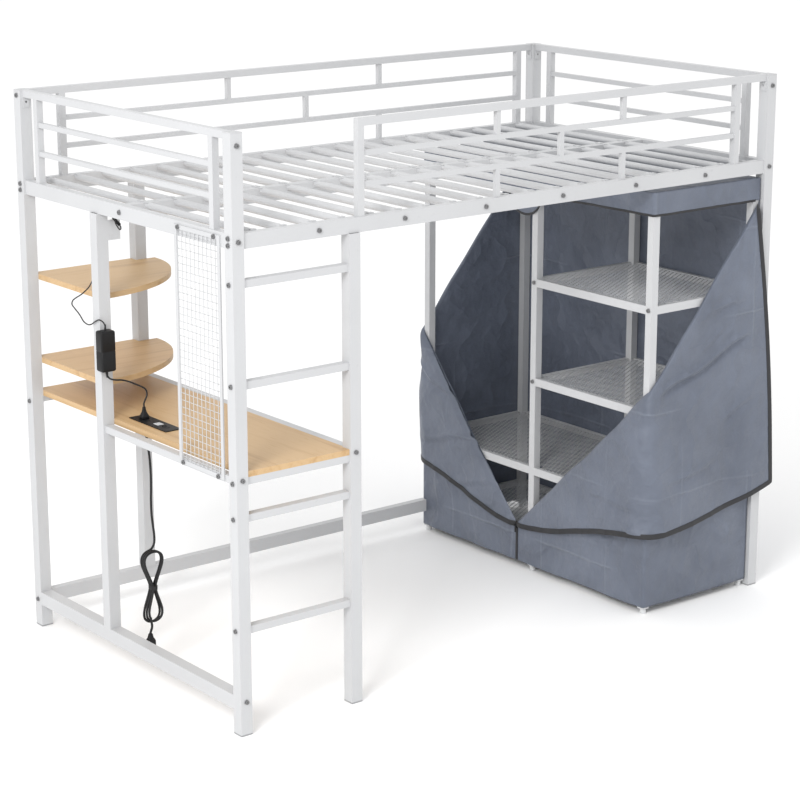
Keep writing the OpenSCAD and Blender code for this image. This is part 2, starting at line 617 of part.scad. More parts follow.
module power_strip() color(DARK) frame() difference() {
    union() {
        block([strip_at[0], strip_at[1], desk_z - strip[2]],
            [strip_at[0] + strip[0], strip_at[1] + strip[1], desk_z]);
        block([strip_at[0] - FLANGE, strip_at[1] - FLANGE, desk_z - REBATE],
            [strip_at[0] + strip[0] + FLANGE, strip_at[1] + strip[1] + FLANGE, STRIP_TOP]);
    }
    for (y = SOCKET_Y) socket(y);
    block([STRIP_X - ROCKER[0] / 2 - CLEAR, ROCKER_Y - ROCKER_POCKET / 2, STRIP_TOP - ROCKER_DEEP],
        [STRIP_X + ROCKER[0] / 2 + CLEAR, ROCKER_Y + ROCKER_POCKET / 2, STRIP_TOP + EPS]);
    translate([STRIP_X - ROCKER_PIN / 2 - CLEAR, ROCKER_Y, ROCKER_Z])
        rotate([0, 90, 0]) cylinder(r = PIN_R + CLEAR / 2, h = ROCKER_PIN + 2 * CLEAR);
    block([STRIP_X - USB[0] / 2, USB_Y - USB[1] / 2, STRIP_TOP - USB[2]],
        [STRIP_X + USB[0] / 2, USB_Y + USB[1] / 2, STRIP_TOP + EPS]);
}

// Rocker with a hollowed top and the pins that it turns on; it rests pressed down at its -Y end
module rocker_switch() color(DARK) frame()
    translate([STRIP_X, ROCKER_Y, ROCKER_Z]) rotate([rocker_tilt, 0, 0]) {
    rotate([90, 0, 90]) translate([0, 0, -ROCKER[0] / 2]) linear_extrude(ROCKER[0]) polygon([
        [-ROCKER[1] / 2, -ROCKER[2] / 2], [ROCKER[1] / 2, -ROCKER[2] / 2], [ROCKER[1] / 2, ROCKER[2] / 2 + 1],
        [0, ROCKER[2] / 2 - 1], [-ROCKER[1] / 2, ROCKER[2] / 2 + 1]]);
    translate([-ROCKER_PIN / 2, 0, 0]) rotate([0, 90, 0]) cylinder(r = PIN_R, h = ROCKER_PIN);
}

module usb_block() color(GREY) frame() translate([STRIP_X, USB_Y, STRIP_TOP - USB[2]]) difference() {
    translate([-USB[0] / 2, -USB[1] / 2, 0]) cube([USB[0], USB[1], USB[2] + 1]);
    for (s = [-1, 1]) translate([-USB_PORT[0] / 2, s * USB[1] / 4 - USB_PORT[1] / 2, 4])
        cube([USB_PORT[0], USB_PORT[1], USB[2]]);
}

module adapter() color(DARK) frame()
    translate([ADAPTER_X, mid_y - CLEAR - ADAPTER[1], ADAPTER_Z]) cube(ADAPTER);

module adapter_cord() color(DARK) frame() cord(AC_POINTS, AC_D);

// Plug with its two blades in the strip's far socket
module adapter_plug() color(DARK) frame() translate([PLUG_AT[0], PLUG_AT[1], STRIP_TOP]) {
    translate([-PLUG[0] / 2, -PLUG[1] / 2, 0]) cube([PLUG[0], PLUG[1], PLUG[2]]);
    translate([0, 0, PLUG[2] - EPS]) cylinder(d = PLUG_NECK, h = PLUG_TOP - STRIP_TOP - PLUG[2] + EPS);
    for (s = [-1, 1]) translate([s * BLADE_X - BLADE[0] / 2, -BLADE[1] / 2, -BLADE[2]])
        cube([BLADE[0], BLADE[1], BLADE[2] + EPS]);
}

module led_cord() color(DARK) frame() cord(DC_POINTS, DC_D);

module led_connector() color(DARK) frame() {
    v = CONNECTOR[1] - CONNECTOR[0];
    translate(CONNECTOR[0]) rotate([0, acos(v.z / norm(v)), atan2(v.y, v.x)])
        cylinder(d = CONNECTOR_D, h = norm(v));
}

module led_lead() color(DARK) frame() cord(LEAD_POINTS, DC_D);

module led_strip() color(GREY) frame()
    block([post / 2 - LED[0] / 2, PANEL_Y[1] + LED_FROM, DECK_LOW - LED[1]],
    [post / 2 + LED[0] / 2, LEAD_POINTS[len(LEAD_POINTS) - 1].y + LED[0] / 2, DECK_LOW]);

module mains_cord() color(DARK) frame() {
    cord(DROP_POINTS, MAINS_D);
    cord(TAIL_POINTS, MAINS_D);
}

// Outer shape of the wound-up cord: an upright band with round ends
module mains_hank() color(DARK) frame()
    translate([HANK_AT[0] + HANK[0] / 2, HANK_AT[1] + HANK[1], HANK_AT[2]])
    rotate([90, 0, 0]) linear_extrude(HANK[1]) {
        translate([0, HANK[0] / 2]) circle(d = HANK[0]);
        translate([0, HANK[2] - HANK[0] / 2]) circle(d = HANK[0]);
        translate([-HANK[0] / 2, HANK[0] / 2]) square([HANK[0], HANK[2] - HANK[0]]);
    }

module mains_plug() color(DARK) frame() translate(TAIL_POINTS[len(TAIL_POINTS) - 1]) {
    translate([0, 0, -MAINS_PLUG[2]]) cylinder(d = PLUG_NECK, h = MAINS_PLUG[2]);
    translate([-MAINS_PLUG[0] / 2, -MAINS_PLUG[1] / 2, -MAINS_PLUG[2]])
        cube([MAINS_PLUG[0], MAINS_PLUG[1], MAINS_PLUG[2] / 2]);
    for (s = [-1, 1]) translate([s * BLADE_X - BLADE[0] / 2, -BLADE[1] / 2, -MAINS_PLUG[2] - BLADE[2]])
        cube([BLADE[0], BLADE[1], BLADE[2] + EPS]);
}

// ---- wardrobe frame ----

module wardrobe_posts() color(WHITE) frame() for (x = WX) for (y = WY)
    difference() {
        hollow_post(x, y, foot_h, WARD_H, ward_post);
        for (b = TRAY_BOLTS) translate([wardrobe_x - EPS, b[0], b[1]])
            rotate([0, 90, 0]) cylinder(r = HOLE_R, h = wall + 2 * EPS);
    }

module wardrobe_feet() color(GREY) frame() for (x = WX) for (y = WY) translate([x, y, 0]) {
    translate([0, 0, foot_h - FOOT_PLATE]) cube([ward_post, ward_post, FOOT_PLATE]);
    translate([ward_post / 2, ward_post / 2, 0])
        cylinder(d = ward_post - 2 * FOOT_IN, h = foot_h - FOOT_PLATE + EPS);
}

TOP_MID = WARD_H - guard_s / 2;

module wardrobe_top_rails() color(WHITE) frame() {
    for (y = WY) tube_x(WX[0] + ward_post, WX[1], y + ward_post / 2, TOP_MID, guard_s, guard_s);
    for (x = WX) for (k = [0, 1])
        tube_y(WY[k] + ward_post, WY[k + 1], x + ward_post / 2, TOP_MID, guard_s, guard_s);
}

module hanging_rod() color(GREY) frame()
    translate([(WX[0] + WX_END) / 2, WY[1] + (ward_post + guard_s) / 2, TOP_MID])
        rotate([-90, 0, 0]) difference() {
        len = WY[2] - WY[1] - guard_s;
        cylinder(d = ROD_D, h = len);
        translate([0, 0, -EPS]) cylinder(d = ROD_D - 2 * wall, h = len + 2 * EPS);
    }

// Cuts the posts' corners out of a tray or its mesh
module around_posts() difference() {
    children();
    for (x = WX) for (y = WY) block([x, y, 0], [x + ward_post, y + ward_post, WARD_H]);
}

// Tray frame: upright walls all round with a lip turned in at the top
module tray(z, y1) around_posts() difference() {
    block([WX[0], WY[0], z - tray_h], [WX_END, y1, z]);
    block([WX[0] + tray_t, WY[0] + tray_t, z - tray_h - EPS], [WX_END - tray_t, y1 - tray_t, z - tray_t]);
    block([WX[0] + TRAY_LIP, WY[0] + TRAY_LIP, z - tray_h], [WX_END - TRAY_LIP, y1 - TRAY_LIP, z + EPS]);
}

TRAY_END = [WY[1] + ward_post, WY[1] + ward_post, WY_END, WY_END];

module shelf_frames() color(WHITE) frame() for (k = [0 : 3]) tray(tray_z[k], TRAY_END[k]);

// Sheets of expanded steel under the trays' lips
module shelf_mesh() color(WHITE) frame() for (k = [0 : 3]) around_posts()
    block([WX[0] + tray_t, WY[0] + tray_t, tray_z[k] - tray_t - MESH_T],
        [WX_END - tray_t, TRAY_END[k] - tray_t, tray_z[k] - tray_t]);

// ---- fabric cover ----

// Roof with the valance on three sides, and a rounded tab that droops in the middle of the left side
module cover_top() color(FABRIC) frame() {
    block([CX0, CY0, ROOF_Z], [CX1, CY1, ROOF_Z + cloth]);
    for (y = [CY0, CY1 - cloth]) block([CX0, y, VALANCE_Z], [CX1 - cloth - CLEAR, y + cloth, ROOF_Z + EPS]);
    block([CX0, CY0, VALANCE_Z], [CX0 + cloth, CY1, ROOF_Z + EPS]);
    block([CX0, TAB_Y[0], VALANCE_Z - TAB_DROP], [CX0 + cloth, TAB_Y[1], VALANCE_Z + EPS]);
}

module cover_right() color(FABRIC) frame() block([CX1 - cloth, CY0, hem_z], [CX1, CY1, ROOF_Z - CLEAR]);

// Front or back panel, from the hem up to the fold of the door, which rises to the right end
module side_panel(y) translate([0, y + cloth, 0]) rotate([90, 0, 0]) linear_extrude(cloth) polygon([
    [CX0, hem_z], [CX1 - cloth - CLEAR, hem_z], [CX1 - cloth - CLEAR, VALANCE_Z - CLEAR], [CX0, fold_z]]);

module cover_front() color(FABRIC) frame() side_panel(CY0);

// The back panel has a slot for the bottom rail, as the left one has
module rail_slot() block([CX0 - 1, bed_w - post / 2 - rail_t / 2 - SOFT, bottom_z - SOFT],
    [wardrobe_x + SOFT, bed_w, bottom_z + rail_h + SOFT]);

module cover_back() color(FABRIC) frame() difference() {
    side_panel(CY1 - cloth);
    rail_slot();
}

// Left panel: a low middle at the closed zip, rising to the folds at both corners
module cover_left() color(FABRIC) frame() difference() {
    translate([CX0, 0, 0]) rotate([90, 0, 90]) linear_extrude(cloth) polygon([
        [CY0 + cloth + CLEAR, hem_z], [CY1 - cloth - CLEAR, hem_z], [CY1 - cloth - CLEAR, fold_z],
        [zip_y, zip_z], [CY0 + cloth + CLEAR, fold_z]]);
    rail_slot();
}

module lump(x, y, z, size) translate([x, y, z] - size / 2) cube(size);

// Folded-back corner of a door, drawn for the front: y is the distance behind the bed's front face,
// and centre the distance from there to the zip. It hangs outside the panel, bulges at the corner
// and ends in a tip beyond the bed's right end.
module folded_door(centre) {
    s = [FLAP_T, FLAP_T, 2 * FLAP_T];
    fold = [CX0 - CLEAR - FLAP_T / 2, CY0 - CLEAR - FLAP_T / 2, fold_z];
    corner = [CX0 - bulge / 2, FLAP_T / 2 - bulge, CORNER_Z];
    top = [WX_END - DOOR_IN, -CLEAR - FLAP_T / 2, VALANCE_Z - DOOR_IN];
    edge = [bed_l + tip_out * 0.6, -CLEAR - FLAP_T, (VALANCE_Z + CORNER_Z) / 2 - 150];
    tip = [bed_l + tip_out - FLAP_T / 2, -CLEAR - 2 * FLAP_T, CORNER_Z + TIP_RISE];
    zip = [CX0 - CLEAR - FLAP_T / 2, centre - ZIP_W - FLAP_T, zip_z + 2 * FLAP_T];
    hip = [CX0 - bulge * 0.7, centre / 2, (zip_z + CORNER_Z) / 2];
    hull() for (p = [fold, corner, top, edge, tip]) lump(p.x, p.y, p.z, s);
    hull() for (p = [fold, corner, zip, hip]) lump(p.x, p.y, p.z, s);
}

module door_right() color(FABRIC) frame() folded_door(zip_y);

module door_left() color(FABRIC) frame()
    translate([0, bed_w, 0]) mirror([0, 1, 0]) folded_door(bed_w - zip_y);

module zip_tape() color(DARK) frame()
    block([CX0 - CLEAR - ZIP_T, zip_y - ZIP_W / 2, hem_z], [CX0 - CLEAR, zip_y + ZIP_W / 2, zip_z]);

// Slider with two lugs and the pin that the pull hangs on
module zip_slider() color(DARK) frame() translate([SLIDER_X, zip_y, zip_z - SLIDER[2]]) {
    translate([0, -SLIDER[1] / 2, 0]) cube(SLIDER);
    for (s = [-1, 1]) translate([-LUG, s * (SLIDER[1] / 2 - LUG_T / 2) - LUG_T / 2, SLIDER[2] / 2 - LUG / 2])
        cube([LUG + EPS, LUG_T, LUG]);
    translate([-LUG / 2, -SLIDER[1] / 2, SLIDER[2] / 2]) rotate([-90, 0, 0])
        cylinder(r = PULL_PIN_R, h = SLIDER[1]);
}

module zip_pull() color(DARK) frame()
    translate([SLIDER_X - LUG / 2, zip_y, zip_z - SLIDER[2] / 2]) difference() {
    union() {
        translate([-PULL[0] / 2, -PULL[1] / 2, -PULL[2]]) cube(PULL);
        translate([0, -PULL[1] / 2, 0]) rotate([-90, 0, 0]) cylinder(d = PULL_EYE, h = PULL[1]);
    }
    translate([0, -PULL[1] / 2 - EPS, 0]) rotate([-90, 0, 0])
        cylinder(r = PULL_PIN_R + CLEAR, h = PULL[1] + 2 * EPS);
}

post_front_left();
post_back_left();
post_front_right();
post_back_right();
foot_caps();
top_caps();
deck_rail_front();
deck_rail_back();
deck_rail_left();
deck_rail_right();
centre_beam();
slats_front();
slats_back();
guard_front();
guard_back();
guard_left();
guard_right();
ladder_post();
ladder_rungs();
bottom_rail_left();
bottom_rail_back();
mid_post_left();
mid_post_back();
desk_board();
desk_rails();
corner_shelves();
cable_bracket();
wire_panel_frame();
wire_panel_wires();
bolts();
washers();
power_strip();
rocker_switch();
usb_block();
adapter();
adapter_cord();
adapter_plug();
led_cord();
led_connector();
led_lead();
led_strip();
mains_cord();
mains_hank();
mains_plug();
wardrobe_posts();
wardrobe_top_rails();
wardrobe_feet();
hanging_rod();
shelf_frames();
shelf_mesh();
cover_top();
cover_right();
cover_front();
cover_back();
cover_left();
door_right();
door_left();
zip_tape();
zip_slider();
zip_pull();
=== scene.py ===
"""A metal loft bed over a desk, corner shelves and a covered wardrobe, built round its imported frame."""
import math

import bpy
import numpy as np
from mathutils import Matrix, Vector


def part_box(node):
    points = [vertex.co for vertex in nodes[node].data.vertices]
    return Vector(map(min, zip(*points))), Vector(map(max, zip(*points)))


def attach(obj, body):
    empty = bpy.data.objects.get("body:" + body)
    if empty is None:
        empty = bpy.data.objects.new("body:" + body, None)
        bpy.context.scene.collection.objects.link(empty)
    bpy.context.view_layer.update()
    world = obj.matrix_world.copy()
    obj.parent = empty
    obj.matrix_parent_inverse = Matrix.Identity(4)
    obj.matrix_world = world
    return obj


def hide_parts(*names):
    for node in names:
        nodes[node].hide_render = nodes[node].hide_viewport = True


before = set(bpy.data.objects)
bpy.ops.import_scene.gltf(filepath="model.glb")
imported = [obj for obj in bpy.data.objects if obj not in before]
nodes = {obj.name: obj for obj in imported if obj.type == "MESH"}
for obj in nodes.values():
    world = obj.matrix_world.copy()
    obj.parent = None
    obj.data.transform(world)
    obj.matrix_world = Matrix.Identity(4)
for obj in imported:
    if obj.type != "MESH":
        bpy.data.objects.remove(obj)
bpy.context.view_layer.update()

# ---- Camera ----
# A long lens looks slightly down on the corner between the desk's end and the ladder side, from far enough
# away for the uprights to stay nearly parallel.

camera = bpy.data.objects.new("camera", bpy.data.cameras.new("camera"))
bpy.context.scene.collection.objects.link(camera)
camera.location = (-4.183, -5.267, 2.450)
camera.rotation_euler = (math.radians(75.02), 0, math.radians(-38.21))
camera.data.lens = 102.96
camera.data.clip_end = 200
bpy.context.scene.camera = camera

# ---- Cords ----
# Four round PVC leads: the plug's lead to the adapter, the adapter's lead to a connector, a short lead
# to the lights, and the strip's mains lead, which hangs down under the desk in a tied bundle.

ORIGIN = np.array([1007.75, 550, 0])   # the frame's origin in the bed's own measures, in millimetres


def from_bed(points):
    """Points in the bed's own millimetres, moved to the frame's origin and made metres."""
    return (np.array(points, float) - ORIGIN) / 1000


def smooth_route(points, step=0.002):
    """Catmull-Rom line through the points: each stretch is the cubic whose end slopes are half the
    difference of its neighbours, sampled again at about every step of its length."""
    p = np.vstack([2 * points[0] - points[1], points, 2 * points[-1] - points[-2]])
    a, b, c, d = p[:-3, None], p[1:-2, None], p[2:-1, None], p[3:, None]
    share = np.linspace(0, 1, 13)[None, :-1, None]
    line = b + share / 2 * ((c - a) + share * ((2 * a - 5 * b + 4 * c - d) + share * (3 * (b - c) + d - a)))
    line = np.vstack([line.reshape(-1, 3), points[-1]])
    along = np.concatenate([[0], np.cumsum(np.linalg.norm(np.diff(line, axis=0), axis=1))])
    at = np.linspace(0, along[-1], int(along[-1] / step) + 2)
    return np.stack([np.interp(at, along, line[:, k]) for k in range(3)], axis=1)


def lead(name, line, diameter, node):
    """A round lead: a circle of the diameter swept along the line, in place of the plain tube."""
    curve = bpy.data.curves.new(name, "CURVE")
    curve.dimensions = "3D"
    spline = curve.splines.new("POLY")
    spline.points.add(len(line) - 1)
    spline.points.foreach_set("co", np.hstack([line, np.ones((len(line), 1))]).ravel())
    curve.bevel_depth = diameter / 2
    curve.bevel_resolution = 3
    curve.use_fill_caps = True
    made = bpy.data.objects.new(name, curve)
    bpy.context.scene.collection.objects.link(made)
    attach(made, "root")
    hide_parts(node)
    return made


LIGHT_D = 0.0036
ADAPTER_D = 0.005
MAINS_D = 0.007

LIGHT_ROUTE = from_bed([
    [6, 647, 995], [6, 646, 1006], [3, 650, 1018], [-3, 662, 1024], [-6, 680, 1016], [-6, 700, 1005],
    [-6, 720, 1001], [-6, 742, 1006], [-6, 764, 1022], [-5, 790, 1034], [-2, 810, 1042], [2, 812, 1052],
    [4, 798, 1062], [5, 774, 1074], [6, 748, 1090], [8, 724, 1110], [12, 709, 1138], [16, 705, 1172],
    [18, 704, 1210], [18, 704, 1250], [20, 705, 1282], [28, 707, 1303], [38, 703, 1314], [48, 690, 1314],
    [54, 676, 1310], [54, 664, 1305]])
LEAD_ROUTE = from_bed([
    [54, 632, 1290], [52, 622, 1285], [46, 613, 1281], [38, 606, 1283], [28, 600, 1292], [20, 597, 1305],
    [18, 596, 1319]])
ADAPTER_EXIT = from_bed([6, 647, 880])
ADAPTER_ROUTE = from_bed([
    [6, 647, 905], [6, 647, 892], [6, 647, 880], [7, 646, 868], [14, 643, 857], [28, 638, 852],
    [46, 632, 850], [64, 627, 844], [82, 620, 835], [97, 614, 827], [107, 609, 819], [110, 606, 808],
    [107, 604, 797], [102, 604, 788], [98, 604, 779], [98, 604, 770]])
DROP_ROUTE = from_bed([
    [100, 600, 703], [101, 600, 685], [104, 599, 655], [107, 597, 620], [108, 595, 580], [106, 592, 540],
    [102, 588, 500], [100, 584, 460], [101, 580, 425], [102, 576, 394], [98, 572.5, 373], [87, 570.5, 360]])
TAIL_ROUTE = from_bed([
    [68, 549, 149], [69.5, 549.5, 140], [70.5, 552, 131], [70.2, 556.5, 121], [70, 559.5, 113],
    [70, 560, 112]])

# The bundle: each turn is a figure with a narrow waist, and the turns lie side by side from back to front.
# Sideways a turn is a sine times its loop's reach, upwards it is a cosine, and it moves on evenly in depth.
HANK_TURNS = 2.42
HANK_START = 0.16          # angle of the first turn at which the drop joins it
HANK_MIDDLE = from_bed([83, 570.2, 250])
HANK_HALF_H = 0.1065
HANK_PITCH = 0.0085
WAIST = 0.005
LOWER_LOOP, UPPER_LOOP = 0.050, 0.062
LOOP_ROUND = 1.45          # the power of the cosine that swells a loop
LEAN, LEAN_START, LEAN_RATE = 0.004, -1.5, 0.2      # the lower loops lean a little further turn by turn
SHORTENING = 0.004         # share by which the lower loops get shorter with the angle

turn = np.linspace(HANK_START, 2 * math.pi * HANK_TURNS, 150)
below = np.clip(-np.cos(turn), 0, 1)
loop = np.where(below > 0, LOWER_LOOP, UPPER_LOOP)
hank_route = HANK_MIDDLE + np.stack([
    -np.sin(turn) * (WAIST + loop * np.abs(np.cos(turn)) ** LOOP_ROUND)
    + LEAN * below * (LEAN_START + LEAN_RATE * turn),
    -HANK_PITCH * turn / (2 * math.pi),
    HANK_HALF_H * np.cos(turn) * (1 - SHORTENING * below * turn)], axis=1)
mains_route = np.vstack([DROP_ROUTE, hank_route, TAIL_ROUTE])

adapter_cord = lead("adapter_lead", smooth_route(ADAPTER_ROUTE), ADAPTER_D, "adapter_cord")
led_cord = lead("light_cord", smooth_route(LIGHT_ROUTE), LIGHT_D, "led_cord")
led_lead = lead("light_lead", smooth_route(LEAD_ROUTE), LIGHT_D, "led_lead")
mains_cord = lead("mains_lead", smooth_route(mains_route), MAINS_D, "mains_cord")
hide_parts("mains_hank")
cords = [adapter_cord, led_cord, led_lead, mains_cord]

# ---- Powder-coated steel ----
# The bed is cut from square mild-steel tube, welded, and sprayed with white powder that is baked on.
# The coat has a fine orange peel, and is a little greyer in small rubbed patches.


class Tone:
    """A number that changes over a finish; arithmetic on it adds Math nodes."""

    def __init__(self, finish, socket):
        self.finish, self.socket = finish, socket

    def maths(self, operation, a, b=0.0):
        return self.finish.node("Math", {0: a, 1: b}, operation=operation)

    def __add__(self, other): return self.maths("ADD", self, other)
    def __sub__(self, other): return self.maths("SUBTRACT", self, other)
    def __rsub__(self, other): return self.maths("SUBTRACT", other, self)
    def __mul__(self, other): return self.maths("MULTIPLY", self, other)
    def __truediv__(self, other): return self.maths("DIVIDE", self, other)
    def __pow__(self, other): return self.maths("POWER", self, other)
    __radd__, __rmul__ = __add__, __mul__

    def size(self): return self.maths("ABSOLUTE", self)
    def loop(self): return self.maths("FRACT", self)
    def wave(self): return self.maths("SINE", self)


class Finish:
    """A material, its shader and the few ways in which its nodes are made."""

    def __init__(self, name, colour, rough, **shader):
        self.material = bpy.data.materials.new(name)
        self.material.use_nodes = True
        self.tree = self.material.node_tree
        self.shader = self.tree.nodes["Principled BSDF"]
        self.set(**{"Base Color": (*colour, 1), "Roughness": rough}, **shader)

    def node(self, kind, inputs, out=0, stops=(), **settings):
        """Adds a node: its settings and ramp stops first, then its sockets' values or links."""
        made = self.tree.nodes.new("ShaderNode" + kind)
        for key, value in settings.items():
            setattr(made, key, value)
        for k, (place, colour) in enumerate(stops):
            stop = made.color_ramp.elements[k] if k < 2 else made.color_ramp.elements.new(place)
            stop.position, stop.color = place, (*colour, 1)
        for key, value in inputs.items():
            if isinstance(value, Tone):
                self.tree.links.new(value.socket, made.inputs[key])
            else:
                made.inputs[key].default_value = value
        return Tone(self, made.outputs[out])

    def set(self, **sockets):
        """Values or links for the shader's own sockets."""
        for key, value in sockets.items():
            if isinstance(value, Tone):
                self.tree.links.new(value.socket, self.shader.inputs[key])
            else:
                self.shader.inputs[key].default_value = value

    def place(self, stretch=(1, 1, 1)):
        """The piece's own metres, stretched."""
        metres = self.node("TexCoord", {}, out="Object")
        return self.node("Mapping", {"Vector": metres, "Scale": stretch})

    def cloth_place(self):
        """The flat measures of a sheet, in metres."""
        return self.node("UVMap", {}, uv_map="flat")

    def noise(self, where, scale, detail=2.0, rough=0.5):
        """Soft noise with about scale patches to a metre."""
        sockets = {"Vector": where, "Scale": scale, "Detail": detail, "Roughness": rough}
        return self.node("TexNoise", sockets)

    def colour(self, share, low, high):
        """A mix of two colours, each a triple or a colour made by another node."""
        low, high = (c if isinstance(c, Tone) else (*c, 1) for c in (low, high))
        return self.node("Mix", {0: share, 6: low, 7: high}, out=2, data_type="RGBA")

    def range(self, value, from_low, from_high, low=0.0, high=1.0):
        """A straight rise from low to high, held level past both ends."""
        return self.node("MapRange", {0: value, 1: from_low, 2: from_high, 3: low, 4: high})

    def bump(self, height, distance, strength=1.0, onto=None):
        """Relief of a depth in metres, laid over another relief if one is given."""
        inputs = {"Height": height, "Distance": distance, "Strength": strength}
        return self.node("Bump", inputs if onto is None else {**inputs, "Normal": onto})


def coat(thing, finish):
    """Puts the finish in the slots of a CAD node, given by name, or on a new piece."""
    if isinstance(thing, str):
        for slot in nodes[thing].material_slots:
            slot.material = finish.material
    else:
        thing.data.materials.append(finish.material)


def powder_coat(name, colour, worn):
    """White powder: orange peel about 1.5 mm wide, faint cloudiness, and worn grey in small patches."""
    made = Finish(name, colour, 0.38, **{"Specular IOR Level": 0.45})
    where = made.place()
    cloud = made.noise(where, 5, 3)
    rub = made.range(made.noise(where, 38, 4, 0.65), 0.66, 0.8)
    made.set(**{
        "Base Color": made.colour(cloud * 0.5 + rub * 0.5, colour, worn),
        "Roughness": 0.33 + cloud * 0.1 + rub * 0.15,
        "Normal": made.bump(made.noise(where, 650, 1) + rub * 0.4, 0.00012, 0.35)})
    return made


white_steel = powder_coat("white powder coat", (0.53, 0.535, 0.545), (0.43, 0.435, 0.445))
FRAME_PIECES = [
    "post_front_left", "post_back_left", "post_front_right", "post_back_right", "deck_rail_front",
    "deck_rail_back", "deck_rail_left", "deck_rail_right", "centre_beam", "slats_front", "slats_back",
    "guard_front", "guard_back", "guard_left", "guard_right", "ladder_post", "ladder_rungs",
    "bottom_rail_left", "bottom_rail_back", "mid_post_left", "mid_post_back", "desk_rails", "cable_bracket",
    "wire_panel_frame", "wire_panel_wires", "wardrobe_posts", "wardrobe_top_rails", "shelf_frames"]
for name in FRAME_PIECES:
    coat(name, white_steel)

# ---- Caps and feet ----
# Injection-moulded plugs close the tubes: white ones on top of the posts, dark ones under them, and
# pale screw-in feet under the wardrobe.


def moulded(name, colour, rough, grain):
    """Moulded plastic: a spark-eroded grain, with a slight sheen change over a few centimetres."""
    made = Finish(name, colour, rough)
    where = made.place()
    patch = made.noise(where, 45, 3)
    darker = tuple(c * 0.82 for c in colour)
    made.set(**{
        "Base Color": made.colour(patch, darker, colour),
        "Roughness": rough - 0.06 + patch * 0.14,
        "Normal": made.bump(made.noise(where, grain, 2, 0.6), 0.0001, 0.4)})
    return made


coat("top_caps", moulded("white cap plastic", (0.52, 0.525, 0.535), 0.42, 900))
coat("foot_caps", moulded("foot plastic", (0.33, 0.335, 0.34), 0.55, 900))
pale_plastic = moulded("pale plastic", (0.62, 0.63, 0.64), 0.4, 1100)
coat("wardrobe_feet", pale_plastic)

# ---- Screws and washers ----
# Button-head socket screws in blackened zinc sit on plain zinc washers and clamp the rails, guards and
# rungs to the posts. The wardrobe's hanging rod is a tube in the same plain zinc.


def metal(name, colour, rough):
    """Plated steel: fine turning marks and small dull patches."""
    made = Finish(name, colour, rough, Metallic=0.9)
    where = made.place()
    dull = made.noise(where, 260, 3)
    made.set(**{
        "Base Color": made.colour(dull, tuple(c * 0.7 for c in colour), colour),
        "Roughness": rough - 0.08 + dull * 0.22,
        "Normal": made.bump(made.noise(where, 1500, 1), 0.00005, 0.5)})
    return made


dark_zinc = metal("blackened zinc", (0.27, 0.27, 0.275), 0.42)
bright_zinc = metal("plain zinc", (0.62, 0.62, 0.63), 0.35)
coat("bolts", dark_zinc)
coat("washers", bright_zinc)
coat("hanging_rod", bright_zinc)

# ---- Boards ----
# The desk and the two corner shelves are chipboard faced with a pale maple laminate, the grain running
# along the desk's long side; the edges are banded with the same foil.


BANDS = {"along": 1.6, "across": 26}     # how close the bands and the pores lie, to a metre
PORES = {"along": 14, "across": 420}


def maple(name, axis):
    """Laminate: rings cut nearly flat give long wavy bands along one axis, with short dark pores."""
    made = Finish(name, (0.7, 0.47, 0.25), 0.42, **{"Specular IOR Level": 0.4})
    ways = ["along" if k == axis else "across" for k in "xyz"]
    where = made.place([BANDS[way] for way in ways])
    drift = made.noise(where, 0.7, 2)
    band = made.noise(where, 2.2, 5, 0.6)
    ring = (band * 9 + drift * 6).wave() * 0.5 + 0.5
    pore = made.range(made.noise(made.place([PORES[way] for way in ways]), 1.0, 2), 0.62, 0.74)
    share = ring * 0.42 + band * 0.35 + drift * 0.25
    tint = made.node("ValToRGB", {"Fac": share}, stops=[
        (0.18, (0.43, 0.26, 0.115)), (0.86, (0.58, 0.405, 0.225)), (0.5, (0.52, 0.34, 0.17))])
    made.set(**{
        "Base Color": made.colour(pore * 0.35, tint, (0.42, 0.24, 0.10)),
        "Roughness": 0.36 + ring * 0.1 + pore * 0.12,
        "Normal": made.bump(0 - pore - ring * 0.15, 0.00015, 0.35)})
    return made


coat("desk_board", maple("desk maple", "y"))
coat("corner_shelves", maple("shelf maple", "x"))

# ---- Power strip ----
# A black strip let into the board holds two sockets, a pale block with two charging ports and a rocker
# switch; its plug, adapter and connector are moulded in the same black plastic.

black_plastic = moulded("black plastic", (0.010, 0.010, 0.011), 0.46, 1200)
black_plastic.set(**{"Specular IOR Level": 0.25})
for name in ["power_strip", "rocker_switch", "led_connector"]:
    coat(name, black_plastic)
coat("usb_block", pale_plastic)
coat("led_strip", pale_plastic)


def rubber(name):
    """Cord rubber: matt, with a faint extrusion ripple and dust."""
    made = Finish(name, (0.018, 0.018, 0.019), 0.5, **{"Specular IOR Level": 0.3})
    where = made.place()
    dust = made.noise(where, 130, 4, 0.6)
    made.set(**{
        "Base Color": made.colour(dust, (0.007, 0.007, 0.008), (0.020, 0.020, 0.021)),
        "Roughness": 0.42 + dust * 0.2,
        "Normal": made.bump(made.noise(where, 900, 2), 0.00012, 0.4)})
    return made


cord_rubber = rubber("cord rubber")
for piece in cords:
    coat(piece, cord_rubber)


